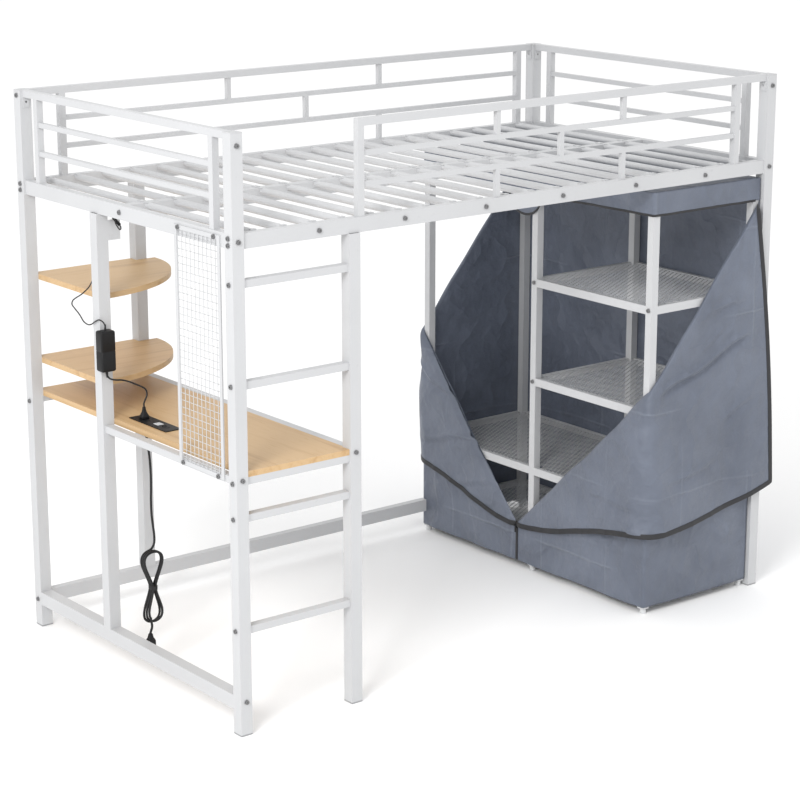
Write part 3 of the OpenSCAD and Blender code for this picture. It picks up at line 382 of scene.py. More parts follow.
def grid_piece(name, points, finish, around=False, flat=None):
    """A surface through a grid of points. around joins the last column to the first and closes both
    ends, and flat gives the cloth's flat measures as its UV map."""
    rows, columns = points.shape[:2]
    index = np.arange(rows * columns).reshape(rows, columns)
    if around:
        index = np.hstack([index, index[:, :1]])
    quads = np.stack([index[:-1, :-1], index[:-1, 1:], index[1:, 1:], index[1:, :-1]], axis=-1)
    ends = [index[0, :-1][::-1].tolist(), index[-1, :-1].tolist()] if around else []
    mesh = bpy.data.meshes.new(name)
    mesh.from_pydata(points.reshape(-1, 3).tolist(), [], quads.reshape(-1, 4).tolist() + ends)
    mesh.polygons.foreach_set("use_smooth", np.ones(len(mesh.polygons), bool))
    if flat is not None:
        corner = np.zeros(len(mesh.loops), np.int32)
        mesh.loops.foreach_get("vertex_index", corner)
        mesh.uv_layers.new(name="flat").data.foreach_set("uv", flat.reshape(-1, 2)[corner].ravel())
    made = bpy.data.objects.new(name, mesh)
    bpy.context.scene.collection.objects.link(made)
    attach(made, "root")
    coat(made, finish)
    return made


def soft_block(profile, sizes, centre, edge=0.22, sides=32):
    """Points of an upright moulded block: at each height, in profile as (height, share), the plan is a
    superellipse of the two sizes with soft corners."""
    angle = np.linspace(0, 2 * math.pi, sides, endpoint=False)
    cos, sin = np.cos(angle), np.sin(angle)
    plan = np.stack([np.sign(cos) * np.abs(cos) ** edge * sizes[0] / 2,
                     np.sign(sin) * np.abs(sin) ** edge * sizes[1] / 2], axis=1)
    height, share = np.array(profile, float).T
    rings = np.zeros((len(profile), sides, 3))
    rings[:, :, :2] = plan[None] * share[:, None, None]
    rings[:, :, 2] = height[:, None]
    return rings + np.array(centre)


GROOVES = 5
GROOVE_DEEP = 0.0005


def sleeve(name, base, towards, d_wide, d_thin, length):
    """A tapered strain relief with grooves: its radius falls evenly along the lead, less a raised cosine
    for each groove."""
    share = np.linspace(0, 1, 46)
    groove = 0.5 - 0.5 * np.cos(2 * math.pi * GROOVES * share)
    radius = (d_wide + (d_thin - d_wide) * share) / 2 - GROOVE_DEEP * groove
    axis = np.array(towards, float) - base
    axis /= np.linalg.norm(axis)
    side = np.cross(axis, [0.3, 1, 0.1])
    side /= np.linalg.norm(side)
    up = np.cross(axis, side)
    angle = np.linspace(0, 2 * math.pi, 16, endpoint=False)
    ring = np.cos(angle)[:, None] * side + np.sin(angle)[:, None] * up
    points = base + share[:, None, None] * length * axis + radius[:, None, None] * ring[None]
    return grid_piece(name, points, cord_rubber, around=True)


def moulded_block(name, low, high, base, profile, edge=0.22):
    """A black moulded block over the plan of a box, standing at the height base."""
    middle = (low + high) / 2
    points = soft_block(profile, (high - low)[:2], [middle[0], middle[1], base], edge)
    return grid_piece(name, points, black_plastic, around=True)


def corners(name):
    """The low and the high corner of a node's box."""
    low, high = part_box(name)
    return np.array(low), np.array(high)


# The adapter's two halves meet at a seam half-way up.
SEAM_HALF, SEAM_DEEP = 0.0012, 0.0006
adapter_low, adapter_high = corners("adapter")
case_h = adapter_high[2] - adapter_low[2]
adapter_profile = [
    (0, 0.86), (0.0015, 0.94), (0.004, 0.99), (0.007, 1),
    (case_h / 2 - SEAM_HALF, 1), (case_h / 2 - SEAM_DEEP, 0.975),
    (case_h / 2 + SEAM_DEEP, 0.975), (case_h / 2 + SEAM_HALF, 1),
    (case_h - 0.007, 1), (case_h - 0.004, 0.99), (case_h - 0.0015, 0.94), (case_h, 0.86)]
adapter = moulded_block("adapter_case", adapter_low, adapter_high, adapter_low[2], adapter_profile)
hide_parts("adapter")

# Each plug is wide where it meets the socket and narrows to its lead.
plug_low, plug_high = corners("adapter_plug")
strip_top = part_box("power_strip")[1].z
plug_h = plug_high[2] - strip_top
plug_profile = [(0.0001, 0.93), (0.001, 1), (0.009, 0.98), (0.013, 0.8), (0.018, 0.58), (0.021, 0.5),
                (plug_h - 0.010, 0.42), (plug_h - 0.001, 0.33), (plug_h, 0.28)]
adapter_plug = moulded_block("plug_body", plug_low, plug_high, strip_top, plug_profile, 0.55)
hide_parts("adapter_plug")

BLADE_H = 0.016
mains_low, mains_high = corners("mains_plug")
mains_h = mains_high[2] - mains_low[2] - BLADE_H
mains_profile = [(0, 0.9), (0.001, 1), (0.014, 0.98), (0.019, 0.8), (0.024, 0.58),
                 (mains_h - 0.002, 0.42), (mains_h, 0.34)]
mains_plug = moulded_block("mains_plug_body", mains_low, mains_high, mains_low[2] + BLADE_H,
                           mains_profile, 0.5)
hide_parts("mains_plug")

BLADE = (0.0015, 0.0065)
BLADE_GAP = 0.0127
BLADE_SUNK = 0.001
blade_profile = [(0, 0.55), (0.0015, 1), (BLADE_H + BLADE_SUNK, 1)]
mains_x, mains_y = ((mains_low + mains_high) / 2)[:2]
for k, side in enumerate((-1, 1)):
    at = [mains_x + side * BLADE_GAP / 2, mains_y, mains_low[2]]
    grid_piece(f"mains_blade_{k}", soft_block(blade_profile, BLADE, at, 0.2, 16),
                             bright_zinc, around=True)

# Ribbed strain reliefs: each starts half a millimetre inside the moulding that its lead leaves.
SUNK = np.array([0, 0, 0.0005])
mains_strain = sleeve("mains_strain_relief", DROP_ROUTE[0] + SUNK, DROP_ROUTE[1],
                      d_wide=0.012, d_thin=0.0082, length=0.024)
adapter_strain = sleeve("adapter_strain_relief", ADAPTER_EXIT + SUNK, ADAPTER_ROUTE[3],
                        d_wide=0.0095, d_thin=0.006, length=0.02)
light_strain = sleeve("light_cord_strain_relief", LIGHT_ROUTE[0] - SUNK, LIGHT_ROUTE[1],
                      d_wide=0.0075, d_thin=0.0045, length=0.018)

# The tie round the bundle's waist: an oval ring of four turns of thin tape, worked as one wavy band.
TIE_RINGS, TIE_SIDES = 13, 40
TIE_HALF_H = 0.006
TIE_HALF_W, TIE_HALF_DEEP = 0.0105, 0.0165
TIE_SWELL = 0.05
angle = np.linspace(0, 2 * math.pi, TIE_SIDES, endpoint=False)
oval = np.stack([TIE_HALF_W * np.cos(angle), TIE_HALF_DEEP * np.sin(angle)], axis=1)
swell = 1 + TIE_SWELL * np.abs(np.sin(np.linspace(0, 4 * math.pi, TIE_RINGS)))
tie_points = np.zeros((TIE_RINGS, TIE_SIDES, 3))
tie_points[:, :, :2] = oval[None] * swell[:, None, None]
tie_points[:, :, 2] = np.linspace(-TIE_HALF_H, TIE_HALF_H, TIE_RINGS)[:, None]
tie_points += HANK_MIDDLE - [0, HANK_PITCH * HANK_TURNS / 2, 0]
tie = grid_piece("bundle_tie", tie_points, cord_rubber, around=True)

# ---- Expanded steel sheets ----
# Each tray holds a sheet of steel that was slit and pulled open into small diamonds: strands that
# zigzag along the bed and meet their neighbours at each point. It is coated with the tray.

STRAND_W = 0.0020
STRAND_T = 0.0014
DIAMOND = (0.030, 0.017)     # long way along X, short way along Y
SHEET_EDGE = 0.003
TRAY_LIP_T = 0.002
POST = 0.025                 # the wardrobe's posts are square
POST_CLEAR = (0.004, 0.003)  # how far the notches round the posts stand off, along X and Y
MIDDLE_POST = 0.511          # from the front posts' front faces to the middle ones'

post_low, post_high = corners("wardrobe_posts")
bay_end = post_low[1] + MIDDLE_POST + POST
back_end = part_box("shelf_frames")[1].y
TRAYS = [(0.965, bay_end), (0.645, bay_end), (0.350, back_end), (0.100, back_end)]   # top and far end
post_x = np.array([post_low[0], post_high[0] - POST]) + POST / 2
post_y = np.array([post_low[1], post_low[1] + MIDDLE_POST, post_high[1] - POST]) + POST / 2


def strands(low, high, top):
    """One small closed bar for each straight piece of each zigzag strand. The bar's ends are on the
    strand's two neighbouring points, which swing to each side by a quarter of the short way, less half
    a strand's width."""
    half = DIAMOND[0] / 2
    rows = np.arange(low[1] + DIAMOND[1] / 4, high[1] - DIAMOND[1] / 4, DIAMOND[1] / 2)
    steps = int((high[0] - low[0]) / half)
    swing = (DIAMOND[1] / 2 - STRAND_W) / 2
    sign = 1 - 2 * ((np.arange(len(rows))[:, None] + np.arange(steps + 1)[None]) % 2)
    point = np.zeros((len(rows), steps + 1, 3))
    point[..., 0] = low[0] + np.arange(steps + 1) * half
    point[..., 1] = rows[:, None] + sign * swing
    point[..., 2] = top - STRAND_T / 2
    a, b = point[:, :-1].reshape(-1, 3), point[:, 1:].reshape(-1, 3)
    middle = (a + b) / 2
    off_x = np.abs(middle[:, :1] - post_x).min(axis=1) >= POST / 2 + POST_CLEAR[0]
    off_y = np.abs(middle[:, 1:2] - post_y).min(axis=1) >= POST / 2 + POST_CLEAR[1]
    a, b = a[off_x | off_y], b[off_x | off_y]
    along = (b - a) / np.linalg.norm(b - a, axis=1)[:, None]
    side = np.stack([-along[:, 1], along[:, 0], np.zeros(len(along))], axis=1) * STRAND_W / 2
    up = np.array([0, 0, STRAND_T / 2])
    corner = np.stack([p + s * side + u * up for p in (a, b) for u in (-1, 1) for s in (-1, 1)], axis=1)
    face = np.array([[0, 2, 3, 1], [4, 5, 7, 6], [0, 1, 5, 4], [2, 6, 7, 3], [0, 4, 6, 2], [1, 3, 7, 5]])
    faces = (face[None] + 8 * np.arange(len(a))[:, None, None]).reshape(-1, 4)
    return corner.reshape(-1, 3), faces


for k, (top, end) in enumerate(TRAYS):
    points, faces = strands(post_low[:2] + SHEET_EDGE, (post_high[0] - SHEET_EDGE, end - SHEET_EDGE),
                            top - TRAY_LIP_T)
    mesh = bpy.data.meshes.new(f"expanded_sheet_{k}")
    mesh.from_pydata(points.tolist(), [], faces[:, ::-1].tolist())
    sheet = bpy.data.objects.new(f"expanded_sheet_{k}", mesh)
    bpy.context.scene.collection.objects.link(sheet)
    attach(sheet, "root")
    coat(sheet, white_steel)
    if k == 0:
        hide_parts("shelf_mesh")     # one node holds all four plain plates

# ---- Wardrobe cover ----
# Blue-grey polyester, cut as one bag with a roof and a valance. The zip runs up the left side's middle;
# it is open down to a hand's breadth above the hem, and both doors are folded back round the corners.

roof_low, roof_high = corners("cover_top")
left_x = float(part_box("cover_left")[0].x)
right_x = float(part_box("cover_right")[1].x)
side_y = float(-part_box("cover_front")[0].y)     # the front panel is at -side_y, the back one at +side_y
hem = float(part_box("cover_front")[0].z)
valance_z = float(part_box("cover_front")[1].z)
zip_low, zip_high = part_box("zip_tape")
zip_y = float((zip_low.y + zip_high.y) / 2)
zip_top = float(zip_high.z)
FOLD_Z = 0.715                                  # the fold's height where it passes the corner
CLOTH_T = 0.0008
WIDTH = right_x - left_x

WEAVE = 3100                # radians for each metre: a crossing about every millimetre
PACKED = (0.30, 0.262)      # the size of the cover as it was folded in its packing
CREASE_W = 0.006
# The paler colour laid along the packing creases: a painted highlight on the crease lines.
CREASE_HIGHLIGHT = (0.36, 0.40, 0.46)


def polyester(name, light, dark):
    """Thin woven polyester: a plain weave of about 1 mm, soft crumples, the sharp square creases of the
    packing, and a slight sheen.
    A crease lies half-way between whole numbers of folds. The colour is a random mottle with painted shade
    in the hollows of the small ripples, and a painted highlight along the creases."""
    made = Finish(name, light, 0.5, **{"Sheen Weight": 0.1, "Sheen Roughness": 0.5})
    flat = made.cloth_place()
    u = made.node("SeparateXYZ", {"Vector": flat}, out=0)
    v = made.node("SeparateXYZ", {"Vector": flat}, out=1)
    weave = (u * WEAVE).wave() * (v * WEAVE).wave()
    wander = made.noise(flat, 4, 3) * 0.03
    from_u = (((u + wander) / PACKED[0]).loop() - 0.5).size() * PACKED[0]
    from_v = (((v + wander) / PACKED[1]).loop() - 0.5).size() * PACKED[1]
    fade = made.range(made.noise(flat, 2.6, 2), 0.46, 0.62)
    crease = (made.range(from_u, 0.0, CREASE_W, 1, 0) * 0.6 + made.range(from_v, 0.0, CREASE_W, 1, 0)) * fade
    crumple = made.noise(flat, 7, 3, 0.5)
    ridge = made.range(1 - (made.noise(flat, 5.5, 2, 0.4) - 0.5).size() * 9, 0.0, 1.0) ** 2.0
    ripple = made.noise(flat, 32, 3, 0.5)
    tone = made.range(made.noise(flat, 3.2, 3, 0.6), 0.3, 0.7)
    # Random tone mottling plus painted shade: the colour follows the small ripples of the relief, lighter on
    # their crests and darker in their hollows.
    ripple_shade_and_mottle = made.colour(tone * 0.75 + ripple * 0.3, dark, light)
    soft = made.bump(crumple * 1.4 + ridge * 0.2 + ripple * 0.22 + crease * 0.2, 0.024, 0.7)
    made.set(**{
        # The creases are painted paler: a painted highlight along them.
        "Base Color": made.colour(crease * 0.22, ripple_shade_and_mottle, CREASE_HIGHLIGHT),
        "Roughness": 0.40 + ripple * 0.2,
        "Normal": made.bump(weave, 0.00025, 0.3, soft)})
    return made


cloth = polyester("blue-grey polyester", (0.145, 0.166, 0.214), (0.078, 0.091, 0.122))


def smooth(value, low, high):
    """0 below low and 1 above high, with a smooth rise between."""
    t = np.clip((value - low) / (high - low), 0, 1)
    return t * t * (3 - 2 * t)


def bumps(u, v, seed, size, count=14):
    """Gentle wrinkles: a sum of slanting waves with random directions and phases, mostly from -1.5 to
    1.5."""
    draw = np.random.default_rng(seed)
    total = np.zeros(np.broadcast(u, v).shape)
    for _ in range(count):
        turn, phase, stretch = draw.random(3)
        wave = 2 * math.pi / (size * (0.6 + 1.2 * stretch))
        total += np.sin(wave * (u * math.cos(6.3 * turn) + v * math.sin(6.3 * turn)) + 6.3 * phase)
    return total / math.sqrt(count)


def creased(u, v, seed, size):
    """Sharper crumples: the folds of bumps() where it passes through zero, from 1 on a fold down to 0."""
    return np.exp(-np.abs(bumps(u, v, seed, size, 6)) * 3.5)


def wrap(p, z, out, radius, side):
    """Points round a front corner (side -1) or back corner (side 1). p is the distance round the corner,
    negative on the left face; the cloth stands out by out, and turns the corner on an arc of radius."""
    half_arc = math.pi / 4 * radius
    turned = np.clip((p + half_arc) / radius, 0, math.pi / 2)
    before = np.clip(-p - half_arc, 0, None)
    after = np.clip(p - half_arc, 0, None)
    x = left_x - out + radius * (1 - np.cos(turned)) + after
    y = -side_y - out + radius * (1 - np.sin(turned)) + before
    return np.stack([x, -side * y, z + 0 * p], axis=-1)


def make_sheet(name, points, flat):
    """Cloth of real thickness on a grid of points, with its flat measures."""
    made = grid_piece(name, points, cloth, flat=flat)
    thick = made.modifiers.new("cloth", "SOLIDIFY")
    thick.thickness = CLOTH_T
    thick.offset = 0
    return made


def corner_distance(side):
    """The distance from the zip to the corner, on the front half (side -1) or the back half (side 1)."""
    return side_y - side * zip_y


FOLD_SAG = 0.012


def fold_height(p, side):
    """Height of the fold: a line that rises from the zip to the corner, then on to the valance's end,
    less a slow sag with two ripples."""
    reach = corner_distance(side)
    left = zip_top + (FOLD_Z - zip_top) * (p + reach) / reach
    front = FOLD_Z + (valance_z - FOLD_Z) * p / WIDTH
    share = np.clip((p + reach) / (reach + WIDTH), 0, 1)
    sag = np.sin(np.pi * share) * (FOLD_SAG + 0.004 * np.sin(19 * p + side) + 0.003 * np.sin(41 * p))
    return np.where(p < 0, left, front) - sag


# ---- Skirts ----
# The lower half of the cover's front and back. Each runs from the zip round its corner to the right end,
# and its top is the fold. The posts and trays keep it flat higher up; it wrinkles mostly near the hem.

SKIRT_ROUND = 0.005                 # radius of the corner
SKIRT_OFF = 0.0002                  # its least distance off the cover's box
SKIRT_SLACK = (0.0010, 0.0050)      # depth of the wrinkles all over, and what the hem adds
SKIRT_LOOSE = (0.20, 0.34)          # heights between which the hem's wrinkles fade
SKIRT_END = 0.0025                  # how far it ends before the right panel

for side, name, stands_for in ((-1, "cover_front_skirt", ["cover_front", "cover_left"]),
                               (1, "cover_back_skirt", ["cover_back"])):
    reach = corner_distance(side)
    p = np.linspace(-reach, WIDTH - SKIRT_END, 150)[:, None]
    share = np.linspace(0, 1, 90)[None]
    z = hem + share * (fold_height(p, side) - hem)
    low_part = 1 - smooth(z, *SKIRT_LOOSE)
    off_posts = smooth(np.abs(p), 0.02, 0.07) * smooth(WIDTH - p, 0.02, 0.08) \
        * smooth(p + reach, 0.005, 0.05)
    wrinkle = 0.35 + 0.35 * bumps(p, z, 3 + side, 0.17) + 0.5 * creased(p, z, 6 + side, 0.16)
    slack = SKIRT_SLACK[1] * low_part + SKIRT_SLACK[0]
    out = SKIRT_OFF + slack * np.clip(wrinkle, 0, 1.4) * off_posts
    skirt = make_sheet(name, wrap(p, z, out, SKIRT_ROUND, side), np.stack([p + 0 * z, z], axis=-1))
    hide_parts(*stands_for)
    reach + WIDTH
    float((reach + WIDTH) * ((zip_top + valance_z) / 2 - hem))

# ---- Folded doors ----
# The upper parts of the front and back, unzipped and turned down. From the fold the cloth rolls over and
# hangs outside the skirt, bulging round the corner, and its loose tip reaches past the bed's end post.

tip_x = float(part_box("door_right")[1].x) - 0.004
post_face = float(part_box("post_front_right")[0].y)
TIP_Z = 0.336                    # heights of the loose edge at the tip and at the corner
LOW_CORNER_Z = 0.262
FLAP_ROWS, FLAP_COLUMNS = 230, 150
BULGE = {-1: 0.040, 1: 0.022}    # how far a door stands off its corner, at the loose edge
BULGE_REACH = 0.26               # how far round the corner the bulge goes
ROLL = 0.011                     # how far the cloth stands off where it turns over
ROLL_DROP = 1.6 * ROLL           # how far below the fold the roll ends
BELLY = 0.016                    # outward curve of the loose end
CORNER_ROUND = (0.012, 0.085)    # the corner's radius at the fold, and what the loose edge adds
FOLD_END = 0.012                 # the fold stops short of the right panel
TIP_PAST = 0.02                  # the loose edge is drawn a little past the tip, round its bend
EDGE_BEND = 1.9                  # the power by which the loose edge rises from the corner to the tip
POST_SIDE = 0.0035               # how far the cloth stays in front of the bed's end post
FLAP_OFF = 0.0006                # a door's least distance off the cover's box
END_OFF = 0.010                  # how far it stands off near the right panel
CREASES = {   # height, slope, start and end round the corner, and depth
    -1: ((0.69, 0.38, 0.03, 0.42, 0.0085), (0.925, 0.12, 0.24, 0.40, 0.0050),
         (0.41, 0.24, 0.07, 0.30, 0.0045), (0.345, 0.01, -0.25, -0.02, 0.0028),
         (0.56, 0.55, 0.30, 0.44, 0.0045), (0.80, 0.60, 0.20, 0.33, 0.0030),
         (0.30, -0.30, -0.12, 0.06, 0.0030)),
    1: ((0.60, 0.30, 0.05, 0.40, 0.0060), (0.40, -0.20, -0.32, -0.05, 0.0050),
        (0.50, 0.5, -0.2, 0.0, 0.0035), (0.28, -0.35, -0.40, -0.22, 0.0030))}


def flap_edge(share, side):
    """p and z of the loose zip edge: from the zip point it drops a little, passes the corner and rises
    by a power of the distance to the tip."""
    reach = corner_distance(side)
    end = tip_x - left_x + TIP_PAST
    p = -reach + (reach + end) * share
    low = zip_top + (LOW_CORNER_Z - zip_top) * smooth(p, -reach, 0.0)
    rise = np.clip(p / end, 0, 1)
    return p, np.where(p < 0, low, LOW_CORNER_Z + (TIP_Z - LOW_CORNER_Z) * rise ** EDGE_BEND)


def fold_creases(p, z, side):
    """A door's long creases: along each slanting line a narrow ridge beside a wider groove, both bell
    curves of the distance from the line, fading at the line's ends."""
    total = np.zeros(z.shape)
    for height, slope, start, end, depth in CREASES[side]:
        line = z - height - slope * (p - start) - 0.006 * np.sin(22 * p)
        ends = smooth(p, start - 0.01, start + 0.05) * smooth(end - p, -0.03, 0.05)
        total += depth * (np.exp(-(line / 0.009) ** 2) - np.exp(-((line + 0.017) / 0.012) ** 2)) * ends
    return total


def flap_points(side):
    """Grid of a folded door. Rows follow the fold from the zip to the valance's end, and columns go from
    the fold to the loose edge; the flat line between the two is wrapped round the corner. It stands off
    by the sum of a quarter-round roll, a bell-shaped bulge, wrinkles and creases."""
    reach = corner_distance(side)
    a = np.linspace(0, 1, FLAP_ROWS)[:, None]
    b = np.linspace(0, 1, FLAP_COLUMNS)[None] ** 1.5
    fold_p = -reach + (reach + WIDTH - FOLD_END) * a
    fold_z = fold_height(fold_p, side)
    edge_p, edge_z = flap_edge(a, side)
    p = fold_p + (edge_p - fold_p) * b + BELLY * np.sin(math.pi * b) * smooth(a, 0.8, 1.0)
    z = fold_z + (edge_z - fold_z) * b
    drop = np.clip(fold_z - z, 0, None)
    roll = ROLL * np.sqrt(1 - np.clip(1 - drop / ROLL_DROP, 0, 1) ** 2)
    near = np.exp(-(p / BULGE_REACH) ** 2)
    lower = np.clip((FOLD_Z - z) / (FOLD_Z - LOW_CORNER_Z), 0, 1) ** 0.8
    clear = END_OFF * smooth(p, WIDTH - 0.13, WIDTH - 0.01)
    wrinkle = (bumps(p, z, 11 + side, 0.26, 12) * 0.0026 + creased(p, z, 15 + side, 0.20) * 0.0022) \
        * smooth(drop, 0.015, 0.07)
    out = FLAP_OFF + roll + BULGE[side] * near * lower + clear + wrinkle + fold_creases(p, z, side)
    points = wrap(p, z, out, CORNER_ROUND[0] + CORNER_ROUND[1] * lower * near, side)
    # Where the cloth passes the bed's end post it stays in front of the post's face.
    past_post = smooth(p, WIDTH - 0.02, WIDTH) * (0.5 + 0.5 * np.tanh((p - 0.05) / 0.05))
    depth = -side * points[..., 1]
    lifted = np.minimum(depth, post_face - POST_SIDE)
    points[..., 1] = -side * (depth + (lifted - depth) * past_post)
    return points, np.stack([p, z], axis=-1)


zip_edges = {}
for side, name, stands_for in ((-1, "door_right_folded", "door_right"),
                               (1, "door_left_folded", "door_left")):
    points, flat = flap_points(side)
    door = make_sheet(name, points, flat)
    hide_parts(stands_for)
    reach = corner_distance(side)
    reach + WIDTH
    "cover_front_skirt" if side < 0 else "cover_back_skirt"
    float((reach + WIDTH) * (valance_z - zip_top) / 2)
    zip_edges[side] = (points[:, -1], points[-1, :])

# ---- Right panel ----
# One flat sheet sewn along the wardrobe's right end, just inside the bed's end posts. The wardrobe's own
# posts lie close behind it, so its wrinkles go outward only.

PANEL_IN = 0.0010              # from the cover's box to the cloth where it is flat
PANEL_SLACK = 0.0040
panel_top = float(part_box("cover_right")[1].z)
y = np.linspace(-side_y + 0.001, side_y - 0.001, 90)[:, None]
z = np.linspace(hem, panel_top, 90)[None]
slack = smooth(side_y - np.abs(y), 0.03, 0.12) * smooth(z, hem, hem + 0.05)
slack = slack * smooth(panel_top - z, 0.02, 0.15)
wrinkle = 0.4 + 0.5 * bumps(y, z, 22, 0.35) + 0.3 * creased(y, z, 21, 0.3)
x = right_x - PANEL_IN + PANEL_SLACK * np.clip(wrinkle, 0, 1.6) * slack
flat = np.stack(np.broadcast_arrays(y, z), axis=-1)
end_panel = make_sheet("cover_right_panel", np.concatenate([x[..., None], flat], axis=-1), flat)
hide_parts("cover_right")
float(z.max() - hem)

# ---- Roof ----
# A sheet stretched over the wardrobe's top rails and sewn to the sides. Nothing holds it up between the
# rails, so it sags a little in each bay.

ROOF_SAG = 0.006
ROOF_EDGE = 0.0008             # from the cover's box to the sheet's edge
ROOF_DOWN = 0.0012             # from the top of the box to the sheet
x = np.linspace(left_x + ROOF_EDGE, right_x - ROOF_EDGE, 60)[:, None]
y = np.linspace(-side_y + ROOF_EDGE, side_y - ROOF_EDGE, 110)[None]
bay = smooth(x, left_x + 0.025, left_x + 0.12) * smooth(right_x - x, 0.025, 0.12)
across = smooth(np.minimum.reduce([np.abs(y - rail) for rail in post_y]), 0.012, 0.11)
z = roof_high[2] - ROOF_DOWN - bay * across * (ROOF_SAG + 0.002 * bumps(x, y, 31, 0.22))
flat = np.stack(np.broadcast_arrays(x, y), axis=-1)
roof = make_sheet("cover_roof", np.concatenate([flat, z[..., None]], axis=-1), flat)
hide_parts("cover_top")

# ---- Valance ----
# A strip sewn to the roof's edge, round the front, the left side and the back. In the middle of the left
# side a rounded tab droops over the zip's end.

TAB_MIDDLE = zip_y - 0.02
TAB_HALF = 0.075
TAB_DEEP = float(valance_z - roof_low[2]) - 0.001
DROOP = 0.006
VALANCE_ROUND = 0.010
VALANCE_OFF = 0.0012
VALANCE_LOOSE = 0.0035
sewn_z = roof_high[2] - 0.001
front_run, left_run = WIDTH - 0.003, 2 * side_y
run = np.linspace(0, 2 * front_run + left_run, 420)[:, None]
share = np.linspace(0, 1, 22)[None]
on_left = (run > front_run) & (run < front_run + left_run)
y_left = -side_y + (run - front_run)
tab = np.clip(1 - ((y_left - TAB_MIDDLE) / TAB_HALF) ** 2, 0, 1) ** 0.5 * on_left
droop = DROOP * np.sin(np.pi * (y_left + side_y) / left_run) ** 2 * on_left
bottom = valance_z - droop - TAB_DEEP * tab
z = sewn_z + share * (bottom - sewn_z)
loose = share * (0.5 + 0.5 * bumps(run, z, 41, 0.14, 10))
out = VALANCE_OFF + VALANCE_LOOSE * np.clip(loose, 0, 1.5)
front_half = run < front_run + left_run / 2
corner_p = np.where(front_half, front_run - run, run - front_run - left_run)
valance_points = np.where(front_half[..., None], wrap(corner_p, z, out, VALANCE_ROUND, -1),
                          wrap(corner_p, z, out, VALANCE_ROUND, 1))
valance = make_sheet("cover_valance", valance_points, np.stack(np.broadcast_arrays(run, z), axis=-1))

# ---- Zips ----
# Black coil zips on woven tape: one closed below the slider, an open half along each door's loose edge
# and end, and the one along the valance's lower edge, which held the doors when they were up.


def zip_finish(name):
    """Black tape with a fine rib, a little rough and uneven in its tone."""
    made = Finish(name, (0.012, 0.012, 0.014), 0.5)
    rib = made.noise(made.place(), 700, 2)
    made.set(**{
        "Base Color": made.colour(rib, (0.008, 0.008, 0.010), (0.024, 0.024, 0.027)),
        "Roughness": 0.4 + rib * 0.25,
        "Normal": made.bump(rib, 0.0004, 0.5)})
    return made


zip_black = zip_finish("black zip")


TAPE_T, BEAD_T = 0.0009, 0.0011       # half thickness of the tape, and what the bead adds to it
DOOR_TAPE_W, SEAM_TAPE_W, VALANCE_TAPE_W = 0.017, 0.011, 0.0075
DOOR_TAPE_OFF, SEAM_TAPE_OFF = 0.0012, 0.0016
SEAM_ROWS = 60


def tape(name, line, outward, width):
    """A flat ribbon along a line, with a rounded bead on one edge: the cross-section is a slim oval,
    whose thickness swells to the bead by the square of a raised cosine."""
    along = np.gradient(line, axis=0)
    along /= np.linalg.norm(along, axis=1)[:, None]
    face = outward - (outward * along).sum(1)[:, None] * along
    face /= np.linalg.norm(face, axis=1)[:, None]
    side = np.cross(along, face)
    angle = np.linspace(0, 2 * math.pi, 14, endpoint=False)
    across = np.cos(angle) * width / 2
    deep = np.sin(angle) * (TAPE_T + BEAD_T * (0.5 + 0.5 * np.cos(angle)) ** 2)
    points = line[:, None] + across[None, :, None] * side[:, None] + deep[None, :, None] * face[:, None]
    return grid_piece(name, points, zip_black, around=True)


def outward_of(line, side):
    """Away from the wardrobe: left on the left face, and off the front or back face past the corner."""
    turned = smooth(line[:, 0], left_x, left_x + 0.12)
    return np.stack([-(1 - turned), side * turned, 0 * turned], axis=1)


for side, name in ((-1, "right"), (1, "left")):
    low_edge, end_edge = zip_edges[side]
    line = np.vstack([low_edge, end_edge[::-1][1:]])
    normal = outward_of(line, side)
    tape(f"door_zip_{name}", line + normal * DOOR_TAPE_OFF, normal, DOOR_TAPE_W)

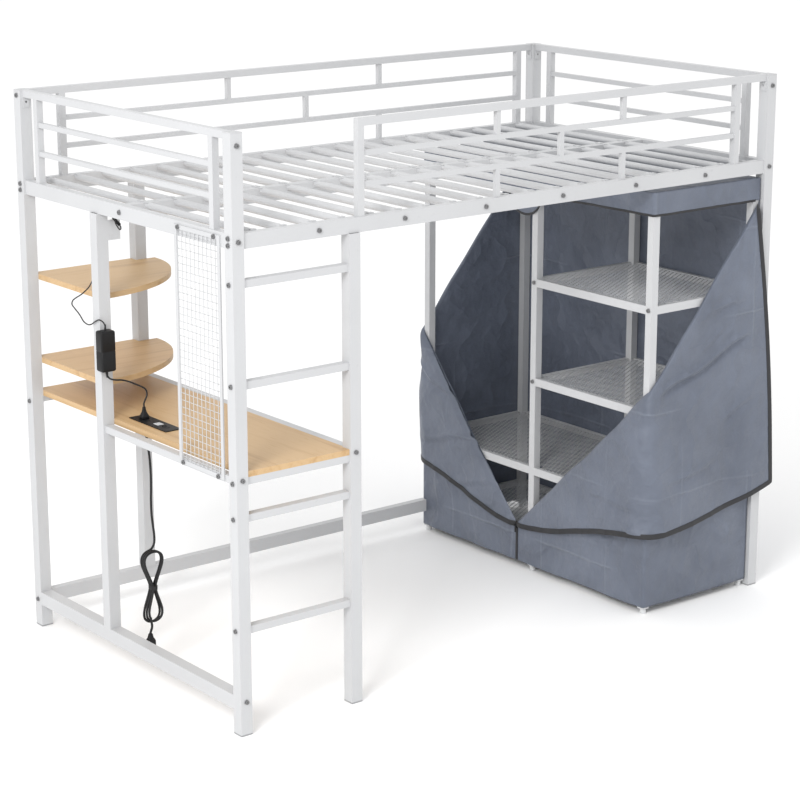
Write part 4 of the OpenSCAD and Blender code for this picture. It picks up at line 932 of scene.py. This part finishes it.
seam_line = np.full((SEAM_ROWS, 3), [left_x - SEAM_TAPE_OFF, zip_y, 0])
seam_line[:, 2] = np.linspace(hem, zip_top, SEAM_ROWS)
seam = tape("closed_zip", seam_line, np.full((SEAM_ROWS, 3), [-1.0, 0, 0]), SEAM_TAPE_W)
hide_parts("zip_tape")

# The valance's zip follows its lower edge, and faces out from each side.
line = valance_points[4:-4, -1]
on_side = (np.abs(line[:, 1]) < side_y - 0.02) & (line[:, 0] < left_x + 0.05)
past_corner = np.stack([np.full(len(line), -0.2), np.sign(line[:, 1]), np.zeros(len(line))], axis=1)
tape("valance_zip", line, np.where(on_side[:, None], [[-1.0, 0, 0]], past_corner), VALANCE_TAPE_W)

zip_metal = metal("black zip metal", (0.05, 0.05, 0.055), 0.4)
for name in ("zip_slider", "zip_pull"):
    coat(name, zip_metal)

# ---- Studio ----
# A wide pale floor under soft light: an even white sky, one large lamp from the left front and a faint
# one straight in front.

FLOOR_HALF = 95
floor_mesh = bpy.data.meshes.new("floor")
floor_corners = [(x * FLOOR_HALF, y * FLOOR_HALF, 0) for x, y in ((-1, -1), (1, -1), (1, 1), (-1, 1))]
floor_mesh.from_pydata(floor_corners, [], [(0, 1, 2, 3)])
floor = bpy.data.objects.new("floor", floor_mesh)
floor.location.z = -0.0005     # just below the feet
bpy.context.scene.collection.objects.link(floor)
coat(floor, Finish("floor paint", (0.97, 0.97, 0.97), 0.85))

world = bpy.data.worlds.new("studio")
bpy.context.scene.world = world
world.use_nodes = True
world.node_tree.nodes["Background"].inputs["Color"].default_value = (1, 1, 1, 1)
world.node_tree.nodes["Background"].inputs["Strength"].default_value = 1.05
bpy.context.scene.view_settings.view_transform = "Standard"

for name, at, aim, size, power in (("key", (-5.5, -3.2, 4.4), (0, 0, 0.8), 2.2, 270),
                                   ("front", (0.5, -6.0, 3.2), (0.3, 0, 0.8), 2.5, 12)):
    lamp = bpy.data.lights.new(name, "AREA")
    lamp.size = size
    lamp.energy = power
    stand = bpy.data.objects.new(name, lamp)
    stand.location = at
    direction = np.array(aim, float) - np.array(at, float)
    level = math.hypot(direction[0], direction[1])
    stand.rotation_euler = (math.atan2(level, -direction[2]), 0, math.atan2(-direction[0], direction[1]))
    bpy.context.scene.collection.objects.link(stand)
